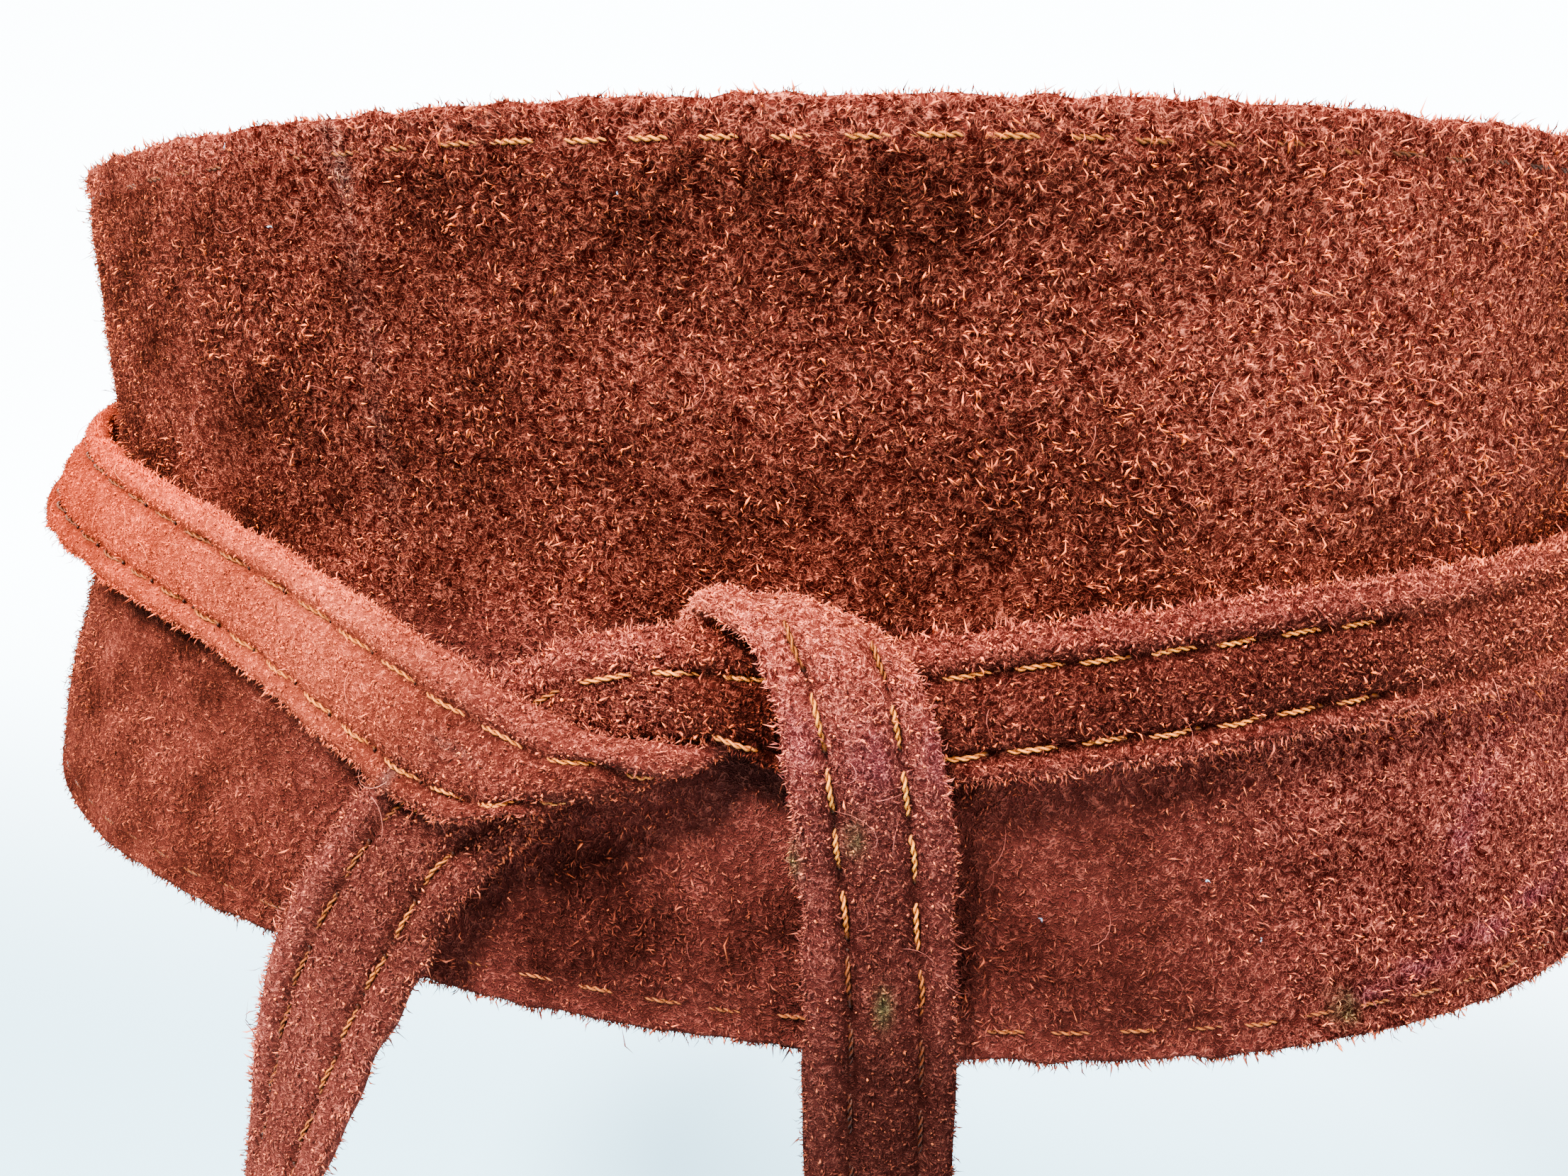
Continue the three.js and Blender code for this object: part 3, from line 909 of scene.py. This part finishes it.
def strand_group():
    """Fine change of colour along loose strands, with its height."""
    group, given, result = new_group(
        "strand_variation", {"Colour": None, "Strand Size": 700.0, "Amount": 0.25},
        ("Colour", "Height"))
    place = add_node(group, "TexCoord").outputs["Object"]
    noise = add_node(group, "TexNoise", {
        "Vector": place, "Scale": given["Strand Size"], "Detail": 2.0}).outputs["Fac"]
    low = arithmetic(group, "SUBTRACT", 1.0, given["Amount"])
    high = arithmetic(group, "ADD", 1.0, given["Amount"])
    spread = add_node(group, "MapRange", {
        "Value": noise, "From Min": 0.3, "From Max": 0.7, "To Min": low, "To Max": high})
    varied = add_node(group, "Mix", {
        "Factor": 1.0, "A": given["Colour"], "B": spread.outputs["Result"],
    }, data_type="RGBA", blend_type="MULTIPLY")
    group.links.new(varied.outputs["Result"], result["Colour"])
    group.links.new(noise, result["Height"])
    return group


def tinted_material(name, group, relief, group_values, shader_values):
    """Material whose own tint goes through a group, with the group's height as bump.

    relief is the bump's height in millimetres. The shader values sit on its own sockets.
    """
    material = bpy.data.materials.new(name)
    material.use_nodes = True
    tree = material.node_tree
    shader = tree.nodes["Principled BSDF"]
    for socket_name, value in shader_values.items():
        shader.inputs[socket_name].default_value = value
    tint = add_node(tree, "Attribute", attribute_name="tint")
    detail = tree.nodes.new("ShaderNodeGroup")
    detail.node_tree = group
    for socket_name, value in group_values.items():
        detail.inputs[socket_name].default_value = value
    tree.links.new(tint.outputs["Color"], detail.inputs["Colour"])
    tree.links.new(detail.outputs["Colour"], shader.inputs["Base Color"])
    if "Contrast" in detail.inputs:
        tree.links.new(tint.outputs["Alpha"], detail.inputs["Contrast"])
    if "Roughness" in detail.outputs:
        tree.links.new(detail.outputs["Roughness"], shader.inputs["Roughness"])
    bump = add_node(tree, "Bump", {"Distance": relief * MM, "Height": detail.outputs["Height"]})
    tree.links.new(bump.outputs["Normal"], shader.inputs["Normal"])
    return material


NAP = nap_group()
STRANDS = strand_group()
SUEDE_PANEL = tinted_material(
    "suede_panel", NAP, 0.6, {"Grain Size": 900.0}, {"Specular IOR Level": 0.0})
SUEDE_TIE = tinted_material(
    "suede_tie", NAP, 0.45, {"Grain Size": 1200.0}, {"Specular IOR Level": 0.0})
FIBRE = tinted_material(
    "nap_fibre", STRANDS, 0.05, {"Strand Size": 700.0, "Amount": 0.25},
    {"Roughness": 0.9, "Specular IOR Level": 0.01})
THREAD = tinted_material(
    "thread", STRANDS, 0.06, {"Strand Size": 5000.0, "Amount": 0.3},
    {"Roughness": 0.45, "Specular IOR Level": 0.12})


# Pieces

left_tie = Strap(LEFT_TIE_ROWS, LEFT_BOWS, LEFT_SEAMS, LEFT_COLOURS_AND_SHADE, LEFT_SPOTS,
                 sewn_first=True, seed=15)
right_tie = Strap(RIGHT_TIE_ROWS, RIGHT_BOWS, RIGHT_SEAMS, RIGHT_COLOURS_AND_SHADE, RIGHT_SPOTS,
                  sewn_first=False, seed=16)


def build_panel():
    """The panel's shell: rings at side angles, over the outer face and back up the inner one.

    Its inner face is darker, and so is the suede between the grains high on the right.
    """
    side = np.linspace(-PANEL_END_SIDE, PANEL_END_SIDE, 300)
    top, bottom = panel_edges(side)
    ring, face = there_and_back(across_steps(1.0, 5, 50, 0.011))
    height = bottom[:, None] + (top - bottom)[:, None] * (ring + 0.5)
    side = np.broadcast_to(side[:, None], height.shape)
    face = np.broadcast_to(face, height.shape)
    points = panel_point(side, height, face)[0]
    tint = panel_tint(side, height)
    tint[face < 0, :3] *= 0.8
    tint[..., :3] *= 1 - 0.18 * spot(side, height, 48, 8, 30, 30)[..., None]
    piece = add_piece("obi_panel", points.reshape(-1, 3),
                      shell_faces(*side.shape), SUEDE_PANEL, tint.reshape(-1, 4))
    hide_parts("belt_panel")
    return piece


def build_tie(name, node, strap):
    """A tie's shell: rings along it, over the outer face and back under the inner one."""
    ring, face = there_and_back(across_steps(TIE_BODY, 6, 24, 1.6))
    along = np.linspace(0, strap.length, int(strap.length / TIE_RING_STEP))
    along, across = np.meshgrid(along, ring, indexing="ij")
    face = np.broadcast_to(face, along.shape)
    points = strap.point(along, across, face)[0]
    tint = tie_tint(strap, along, across)
    piece = add_piece(name, points.reshape(-1, 3), shell_faces(*along.shape),
                      SUEDE_TIE, tint.reshape(-1, 4))
    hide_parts(node)
    return piece


def column(values):
    """Values as a column, one for each vector of a list."""
    return values[:, None]


def weighted(draw, count, grid, weight):
    """Random places on a grid line, as dense as the weight there."""
    total = np.concatenate([[0], np.cumsum((weight[1:] + weight[:-1]) / 2 * np.diff(grid))])
    return np.interp(draw.uniform(0, total[-1], count), total, grid)


def drawn_signs(draw, count, share):
    """Random signs: +1 for about this share of them, and -1 for the rest."""
    return np.where(draw.uniform(0, 1, count) < share, 1.0, -1.0)


def add_grains(name, draw, place, tint, spread):
    """A piece of grains, each as bright as a draw that spreads by its place's contrast.

    place holds their roots, reaches, bends and radii. The brighter grains are the broader and
    more orange ones, and the darker ones are redder. A grain grows brighter towards its tip, and
    its buried root is painted darker, as painted shade among the grains.
    """
    root, reach, bend, radius = place
    contrast = tint[:, 3]
    bright = draw.normal(0, 1, len(root))
    bright = bright + 0.24 * np.minimum(contrast, 1.1) * np.maximum(bright, 0) ** 2
    points, faces, grow = flecks(root, reach, bend, radius * np.exp(0.12 * bright))
    shade = np.repeat(np.exp(0.52 + spread * contrast * bright), GRAIN_POINTS)
    # Painted shade among the grains: each is darker towards its buried root
    shade = shade * (0.35 + 0.85 * grow)
    red = np.clip(shade, 0.05, 1.0) ** 0.4
    pale = np.maximum(shade, 1.0)
    warmth = np.stack([np.ones(len(shade)), red * pale**-0.04, red * pale**-0.42], axis=-1)
    colour = np.repeat(tint, GRAIN_POINTS, axis=0)
    colour[:, :3] *= shade[:, None] * warmth
    colour[:, :3] *= np.minimum(1, 0.92 / colour[:, :1])
    add_piece(name, points, [faces], FIBRE, colour)


def lay_nap(name, draw, place, tint, length, radius, rise, spread, comb):
    """Grains lying on a face in wandering tufts, each raised a little and bent aside.

    place holds their roots and the directions out, first and second; comb leans them.
    """
    root, out, first, second = place
    count = len(root)
    turn = column(draw.uniform(0, 2 * np.pi, count))
    flat = np.cos(turn) * first + np.sin(turn) * second + comb
    stand = column(rise * draw.uniform(0.2, 1.8, count))
    size = column(length * draw.lognormal(-0.08, 0.35, count))
    reach = unit(flat + out * stand) * size
    bend = (out * 0.16 + unit(draw.normal(0, 1, (count, 3))) * 0.22) * size
    width = radius * draw.uniform(0.6, 1.35, count)
    buried = root - out * 0.2
    add_grains(name, draw, (buried, reach, bend, width), tint, spread)


def fray(name, draw, place, tint, length, radius, spread):
    """Grains and fibres that stand away from a cut edge, bent every way.

    place holds their roots, the direction away from the edge and the one along it.
    """
    root, away, run = place
    count = len(root)
    sway = run * column(draw.normal(0, 0.55, count))
    lean = unit(away + sway + 0.3 * draw.normal(0, 1, (count, 3)))
    size = column(length * draw.lognormal(-0.12, 0.4, count))
    bend = unit(draw.normal(0, 1, (count, 3))) * size * 0.22
    width = radius * draw.uniform(0.5, 1.5, count)
    buried = root - away * 0.25
    add_grains(name, draw, (buried, lean * size, bend, width), tint, spread)


def shown_share(side):
    """1 over the panel's front and sides, fading to nothing behind."""
    return ramp(np.abs(side), 92, 72)


def build_panel_nap():
    """Grains over the panel's outer face in two halves, densest in front, few over its stitches.

    They are combed in slowly turning directions, and longer and wider in some parts.
    """
    for name, low, high, seed in (("nap_panel_left", -PANEL_END_SIDE, 0, 41),
                                  ("nap_panel_right", 0, PANEL_END_SIDE, 42)):
        draw = np.random.default_rng(seed)
        grid = np.linspace(low, high, 200)
        top, bottom = panel_edges(grid)
        dense = 0.10 + 0.90 * shown_share(grid)
        side = weighted(draw, PANEL_GRAINS, grid, dense * (top - bottom))
        top, bottom = panel_edges(side)
        height = bottom + (top - bottom) * draw.uniform(0.004, 0.996, len(side))
        from_row = np.abs(from_panel_edge(side, height) - PANEL_ROW_FROM_EDGE)
        keep = (from_row > 0.5) | (draw.uniform(0, 1, len(side)) < 0.15)
        side = side[keep]
        height = height[keep]
        place = panel_point(side, height, np.ones(len(side)))
        angle = column(2.4 * drift(side * MM_A_DEGREE, height, 45, 9))
        comb = 0.8 * (np.cos(angle) * place[3] - np.abs(np.sin(angle)) * place[2])
        brushed = ramp(side, 5, 35) * ramp(height, -20, -10)
        coarse = 1 + 0.35 * drift(side * MM_A_DEGREE, height, 47, 22) + 0.25 * brushed
        lay_nap(name, draw, place, panel_tint(side, height),
                length=1.05 * coarse, radius=0.095 * coarse**0.5, rise=0.6, spread=0.88, comb=comb)


def build_panel_fray():
    """Short fuzz along the panel's top and bottom edges, standing up or down and outwards."""
    draw = np.random.default_rng(43)
    grid = np.linspace(-PANEL_END_SIDE, PANEL_END_SIDE, 400)
    side = weighted(draw, PANEL_EDGE_GRAINS, grid, 0.2 + 0.8 * shown_share(grid))
    count = len(side)
    up = drawn_signs(draw, count, 0.3)
    top, bottom = panel_edges(side)
    height = np.where(up > 0, top - 0.05, bottom + 0.05)
    root, out, upwards, sideways = panel_point(side, height, np.ones(count))
    root = root - out * column(draw.uniform(-0.1, 1.0, count))
    away = unit(upwards * column(up) + out * column(draw.uniform(-0.3, 0.9, count)))
    fray("nap_panel_edges", draw, (root, away, sideways), panel_tint(side, height),
         length=np.where(up > 0, 0.85, 1.0), radius=0.12, spread=0.8)


def tie_weight(strap, grid):
    """Weight of places along a tie: full from the knot out to the sides, little behind."""
    return 0.10 + 0.90 * ramp(np.abs(grid - strap.knot), 185, 155)


def build_tie_nap(name, strap, count, length, radius, seed):
    """Grains over both faces of a tie, radiating at its edges, few over its stitches."""
    draw = np.random.default_rng(seed)
    grid = np.linspace(0.3, strap.length - 0.3, 400)
    along = weighted(draw, count, grid, tie_weight(strap, grid))
    across = draw.uniform(-0.985, 0.985, count) * TIE_BODY / 2
    in_groove = np.abs(strap.from_seam(along, across)) < 0.62
    keep = ~in_groove | (draw.uniform(0, 1, count) < 0.12)
    along = along[keep]
    across = across[keep]
    face = drawn_signs(draw, len(along), 0.86)
    root, out, first, second = strap.point(along, across, face)
    turned = column(ramp(np.abs(across), 6.4, 8.4)) * column(np.sign(across))
    out = unit(out + 0.9 * turned * first)
    swirl = column(np.sin(drift(along, across, seed + 3, 8)))
    comb = 0.5 * turned * first + 0.35 * swirl * second
    tint = tie_tint(strap, along, across)
    size = length * (0.45 + 0.55 * tint[:, 3])
    lay_nap(f"nap_{name}", draw, (root, out, first, second), tint,
            length=size, radius=radius, rise=0.75, spread=0.80, comb=comb)
    build_tie_fray(name, strap, draw, count // 3, grid, length * 1.15, radius * 0.85)


def build_tie_fray(name, strap, draw, count, grid, length, radius):
    """Fuzz along both edges of a tie, on both faces, standing across and outwards."""
    along = weighted(draw, count, grid, tie_weight(strap, grid))
    edge = drawn_signs(draw, count, 0.5)
    across = edge * TIE_BODY / 2 * draw.uniform(0.93, 1.0, count)
    face = drawn_signs(draw, count, 0.65)
    root, out, first, second = strap.point(along, across, face)
    away = unit(first * column(edge) + out * column(draw.uniform(0.0, 1.1, count)))
    fray(f"nap_{name}_edges", draw, (root, away, second),
         tie_tint(strap, along, across), length=length, radius=radius, spread=0.75)


def build_hairs():
    """Stray hairs, three to six millimetres long, lying on the panel and the ties.

    Each curls at a steady rate in the face and rises over it as a sine does from end to end.
    """
    draw = np.random.default_rng(46)
    side = draw.uniform(-55, 70, PANEL_HAIRS)
    height = draw.uniform(-60, 34, PANEL_HAIRS)
    places = [panel_point(side, height, np.ones(PANEL_HAIRS))]
    tints = [panel_tint(side, height)]
    for strap, low, high in ((left_tie, 240, 530), (right_tie, 5, 240)):
        along = draw.uniform(low, high, TIE_HAIRS)
        across = draw.uniform(-8, 8, TIE_HAIRS)
        places.append(strap.point(along, across, np.ones(TIE_HAIRS)))
        tints.append(tie_tint(strap, along, across))
    root, out, first, second = (np.concatenate(parts)[:, None] for parts in zip(*places))
    count = len(root)
    s = np.linspace(0, 1, HAIR_RINGS)[None, :, None]
    turn = draw.uniform(0, 2 * np.pi, (count, 1, 1))
    size = draw.uniform(2.5, 6.5, (count, 1, 1))
    curl = draw.uniform(-1.8, 1.8, (count, 1, 1))
    along_first = np.cos(turn + curl * s) * s * size
    along_second = np.sin(turn + curl * s) * s * size
    lift = -0.1 + 1.1 * np.sin(np.pi * s) ** 0.7
    path = root + along_first * first + along_second * second + lift * out
    radius = 0.045 * (1 - 0.7 * s[..., 0]) * draw.uniform(0.7, 1.3, (count, 1))
    points, quads, caps = tubes(path, radius, HAIR_SIDES)
    paler = np.concatenate(tints) * (3.5, 3.9, 3.6, 1)
    tint = np.clip(np.repeat(paler, HAIR_RINGS * HAIR_SIDES, axis=0), 0, 0.85)
    add_piece("stray_hairs", points, [quads, caps], FIBRE, tint)


def build_lint():
    """Tiny pale and blue specks of lint, each three short grains on the panel's face."""
    draw = np.random.default_rng(48)
    side, height = np.repeat(np.array(LINT_PLACES), 3, axis=0).T
    count = len(side)
    root, out, upwards, sideways = panel_point(side, height, np.ones(count))
    turn = column(draw.uniform(0, 2 * np.pi, count))
    flat = np.cos(turn) * upwards + np.sin(turn) * sideways
    reach = (flat + 0.5 * out) * column(draw.uniform(0.35, 0.6, count))
    askew = flat[:, ::-1]
    bend = 0.08 * out + 0.05 * askew
    points, faces, grow = flecks(root + 0.45 * out, reach, bend, np.full(count, 0.1))
    pale = column(np.repeat(draw.uniform(0, 1, count), GRAIN_POINTS))
    tint = (0.14, 0.22, 0.34, 1) + pale * (0.32, 0.25, 0.18, 0)
    add_piece("lint_specks", points, [faces], FIBRE, tint)


def stitches(draw, place, starts, length, rings, plies, painted_shine, fade):
    """Stitches: each runs above the leather and dives at both ends, with its plies twisted.

    place gives surface points, normals and sideways directions at lengths along the seam. A
    ply's middle goes round the stitch's middle on a helix of a ply's radius. The painted shine is
    how bright each stitch is painted, as painted light and shade, and fade how much of that is
    gone at its far end. Dull stitches lie deeper. The result is the points, quads and caps, and how
    bright each point is painted, with painted shade on the plies' inner sides and where a stitch
    dives.
    """
    count = len(starts)
    u = np.linspace(0, 1, rings)
    size = length * draw.uniform(0.90, 1.06, count)
    point, out, aside = place(column(starts) + u * column(size))
    arch = np.sin(np.pi * u)
    sink = 0.3 * np.clip(0.6 - painted_shine, 0, 1)
    level = -0.55 + 0.95 * arch**0.45 + column(draw.uniform(-0.12, 0.10, count) - sink)
    wobble = column(draw.normal(0, 0.12, count)) * arch
    middle = point + out * level[..., None] + aside * wobble[..., None]
    turn = 2 * np.pi * (length / PLY_TURN * u + column(np.arange(plies) / plies))
    helix = PLY_RADIUS * (1.1 if plies > 1 else 0.0)
    radius = PLY_RADIUS * (1.0 if plies > 1 else 1.6)
    aside = aside[:, None]
    out = out[:, None]
    swing = np.cos(turn)[None, ..., None] * aside + np.sin(turn)[None, ..., None] * out
    ring = circles(middle[:, None] + helix * swing, aside, out, radius, PLY_SIDES)
    quads, caps = tube_faces(count * plies, rings, PLY_SIDES)
    # Painted shade between the plies and towards the leather, lighter on each ply's outer side
    painted_ply_shade = (0.5 + 0.25 * (np.sin(turn)[..., None] + np.sin(angles(PLY_SIDES)))) ** 2
    bright = 1.6 * painted_shine * draw.uniform(0.85, 1.15, count)
    # Painted shade where the stitch dives at both ends, and towards its far end by fade
    run = arch**0.5 * (1 - column(fade) * u)
    light = bright[:, None, None, None] * painted_ply_shade * run[:, None, :, None]
    return ring.reshape(-1, 3), quads, caps, light.reshape(-1)


def add_thread(name, batches):
    """One piece from several batches of stitches, redder where their painted light is darker."""
    points, quads, caps, light = zip(*batches)
    offsets = np.cumsum([0] + [len(part) for part in points])
    faces = [part + offset for part, offset in zip(quads, offsets)]
    faces = faces + [part + offset for part, offset in zip(caps, offsets)]
    light = column(np.clip(np.concatenate(light), 0.015, 1.6))
    colour = np.minimum(THREAD_GOLD * light ** (1.0, 1.1, 0.8), THREAD_GOLD[0])
    tint = np.concatenate([colour, light], axis=1)
    add_piece(name, np.concatenate(points), faces, THREAD, tint)


def tie_row(strap, upper, face):
    """Place of a row of stitches along a tie: point, way out and way across the row."""
    def place(along):
        at = np.clip(along, 0, strap.length)
        across = strap.seam(along, upper)
        point, out, _, run = strap.point(at, across, np.full(along.shape, face))
        return point, out, np.cross(out, run)

    return place


def tie_cross_row(strap, along, face):
    """Place of a row of stitches across a tie: point, way out and way across the row."""
    def place(across):
        at = np.full(across.shape, along)
        point, out, first, _ = strap.point(at, across, np.full(across.shape, face))
        return point, out, np.cross(out, first)

    return place


def panel_row(side, lengths, edge, face):
    """Place of a row of stitches along the panel's top (edge 0) or bottom edge (edge 1)."""
    def place(along):
        at = np.interp(along, lengths, side)
        height = panel_row_height(at, edge)
        point, out, _, sideways = panel_point(at, height, np.full(along.shape, face))
        return point, out, np.cross(out, sideways)

    return place


def panel_row_height(side, edge):
    """Height of the row of stitches along the panel's top (edge 0) or bottom edge (edge 1)."""
    inset = PANEL_ROW_FROM_EDGE if edge else -PANEL_ROW_FROM_EDGE
    return panel_edges(side)[edge] + inset


def tie_stitches(name, strap, shaded_from, seed):
    """Both rows along a tie on both faces, and the two rows across where it is sewn on.

    From one length on, the stitches are painted darker towards their far ends, a painted shade.
    """
    draw = np.random.default_rng(seed)
    batches = []
    for face, rings, plies in TIE_STITCH_FACES:
        for upper in (False, True):
            starts = np.arange(2.0, strap.length - STITCH_PITCH, STITCH_PITCH)
            starts = starts + draw.uniform(-0.3, 0.3, len(starts)) + (1.5 if upper else 0)
            # Painted light and shade of the thread; stitches with none are covered by the nap
            painted_shine = strap.painted_thread_light(starts + STITCH_PITCH / 2, upper)
            starts = starts[painted_shine > 0]
            painted_shine = painted_shine[painted_shine > 0]
            # Painted shade towards each stitch's far end, down the hanging tail
            fade = np.clip((starts - shaded_from) / 25, 0, 0.8)
            batches.append(stitches(draw, tie_row(strap, upper, face), starts,
                                    STITCH_PITCH * STITCH_SHARE, rings, plies, painted_shine, fade))
        for inset in BOX_STITCH_AT:
            row = tie_cross_row(strap, abs(strap.sewn_end - inset), face)
            batches.append(stitches(draw, row, np.array([-BOX_STITCH_REACH, 0.2]),
                                    BOX_STITCH_REACH - 0.4, rings, plies,
                                    np.full(2, 0.6), np.zeros(2)))
    add_thread(name, batches)


def panel_stitches(name, seed):
    """One row along each long edge of the panel, on both faces."""
    draw = np.random.default_rng(seed)
    batches = []
    side = np.linspace(-PANEL_END_SIDE + 1, PANEL_END_SIDE - 1, 3000)
    for face, rings, plies in PANEL_STITCH_FACES:
        for edge, pitch in enumerate(PANEL_PITCHES):
            lengths = running_length(face_point(side, panel_row_height(side, edge)))
            starts = np.arange(3.0, lengths[-1] - pitch, pitch)
            starts = starts + draw.uniform(-0.3, 0.3, len(starts))
            at = np.interp(starts + pitch / 2, lengths, side)
            # Painted light and shade of the thread, by side
            painted_shine = np.interp(at, PANEL_THREAD[:, 0], PANEL_THREAD[:, 1 + edge])
            batches.append(stitches(draw, panel_row(side, lengths, edge, face), starts,
                                    pitch * PANEL_STITCH_SHARE, rings, plies, painted_shine, 0 * starts))
    add_thread(name, batches)


panel_piece = build_panel()
over_piece = build_tie("tie_over", "tie_left", left_tie)
under_piece = build_tie("tie_under", "tie_right", right_tie)
build_panel_nap()
build_panel_fray()
build_tie_nap("tie_over", left_tie, count=21000, length=0.80, radius=0.115, seed=51)
build_tie_nap("tie_under", right_tie, count=19000, length=0.95, radius=0.125, seed=52)
build_hairs()
build_lint()
tie_stitches("thread_tie_over", left_tie, shaded_from=440, seed=61)
tie_stitches("thread_tie_under", right_tie, shaded_from=math.inf, seed=62)
panel_stitches("thread_panel", seed=63)


# Stage, light and camera

def stage_material():
    """Pale floor, lit from itself more and more towards the back."""
    material = bpy.data.materials.new("pale_stage")
    material.use_nodes = True
    tree = material.node_tree
    shader = tree.nodes["Principled BSDF"]
    shader.inputs["Base Color"].default_value = (0.30, 0.50, 0.60, 1)
    shader.inputs["Roughness"].default_value = 0.9
    shader.inputs["Emission Color"].default_value = (0.93, 0.98, 1.0, 1)
    place = add_node(tree, "TexCoord").outputs["Object"]
    split = add_node(tree, "SeparateXYZ", {"Vector": place})
    fade = add_node(tree, "MapRange", {
        "Value": split.outputs["Y"], "From Min": 0.1, "From Max": 0.6,
        "To Min": 0.0, "To Max": 12.0,
    }, interpolation_type="SMOOTHSTEP")
    tree.links.new(fade.outputs["Result"], shader.inputs["Emission Strength"])
    return material


def build_stage():
    """Pale floor that curves up into a backdrop: a quarter circle between two flats."""
    floor = -0.30
    front = -2.5
    back = 0.75
    bend = 0.35
    top = 2.2
    half_width = 2.6
    turn = np.linspace(0, np.pi / 2, 16)
    y = np.concatenate([[front], back - bend + bend * np.sin(turn), [back]])
    z = np.concatenate([[floor], floor + bend - bend * np.cos(turn), [top]])
    x = column(np.array([-half_width, half_width]))
    points = np.stack(np.broadcast_arrays(x, y, z), axis=-1).reshape(-1, 3)
    k = np.arange(len(y) - 1)
    faces = np.stack([k, k + len(y), k + len(y) + 1, k + 1], axis=-1)
    mesh = bpy.data.meshes.new("stage")
    mesh.from_pydata(points.tolist(), [], faces.tolist())
    mesh.polygons.foreach_set("use_smooth", np.ones(len(faces), dtype=bool))
    mesh.materials.append(stage_material())
    stage = bpy.data.objects.new("stage", mesh)
    bpy.context.scene.collection.objects.link(stage)


def add_light(name, at, aim, size, power, colour):
    """Round area light at a place, facing another."""
    light = bpy.data.lights.new(name, "AREA")
    light.shape = "DISK"
    light.size = size
    light.energy = power
    light.color = colour
    lamp = bpy.data.objects.new(name, light)
    lamp.location = at
    x, y, z = np.array(aim) - np.array(at)
    lamp.rotation_euler = (math.atan2(math.hypot(x, y), -z), 0, math.atan2(-x, y))
    bpy.context.scene.collection.objects.link(lamp)


def build_camera():
    """Camera fitted to the photograph: 28 mm lens, close, a little above the knot.

    The focal length and the photograph's width are in its pixels. The camera's three axes are
    right, up and back, turned by the yaw, then the pitch, then the roll.
    """
    photo_width = 2212
    focal_length = 1720
    camera = bpy.data.cameras.new("camera")
    camera.sensor_fit = "HORIZONTAL"
    camera.sensor_width = 36.0
    camera.lens = camera.sensor_width * focal_length / photo_width
    camera.clip_start = 0.01
    camera.dof.use_dof = False
    rig = bpy.data.objects.new("camera", camera)
    rig.location = (0.03325, -0.21107, 0.03396)
    yaw = math.radians(9.75)
    pitch = math.radians(20.31)
    roll = math.radians(1.25)
    level_ahead = np.array([-math.sin(yaw), math.cos(yaw), 0.0])
    forward = math.cos(pitch) * level_ahead - math.sin(pitch) * UP
    right = np.array([math.cos(yaw), math.sin(yaw), 0.0])
    upright = np.cross(right, forward)
    turned_right = math.cos(roll) * right + math.sin(roll) * upright
    turned_up = math.cos(roll) * upright - math.sin(roll) * right
    turn = np.stack([turned_right, turned_up, -forward], axis=1)
    rig.rotation_mode = "QUATERNION"
    rig.rotation_quaternion = Matrix(turn.tolist()).to_quaternion()
    bpy.context.scene.collection.objects.link(rig)
    bpy.context.scene.camera = rig


def build_light():
    """Soft room light, a window high on the left and a weaker one on the right."""
    world = bpy.data.worlds.new("pale_room")
    bpy.context.scene.world = world
    world.use_nodes = True
    sky = world.node_tree.nodes["Background"]
    sky.inputs["Color"].default_value = (0.93, 0.96, 1.0, 1)
    sky.inputs["Strength"].default_value = 0.45
    add_light("window", (-0.30, -0.42, 0.75), (0, -0.05, -0.02), 0.25, 78.0, (1.0, 0.97, 0.93))
    add_light("right_fill", (0.75, -0.6, 0.35), (0, -0.05, -0.03), 0.5, 20.0, (1.0, 0.97, 0.94))


build_stage()
build_light()
build_camera()
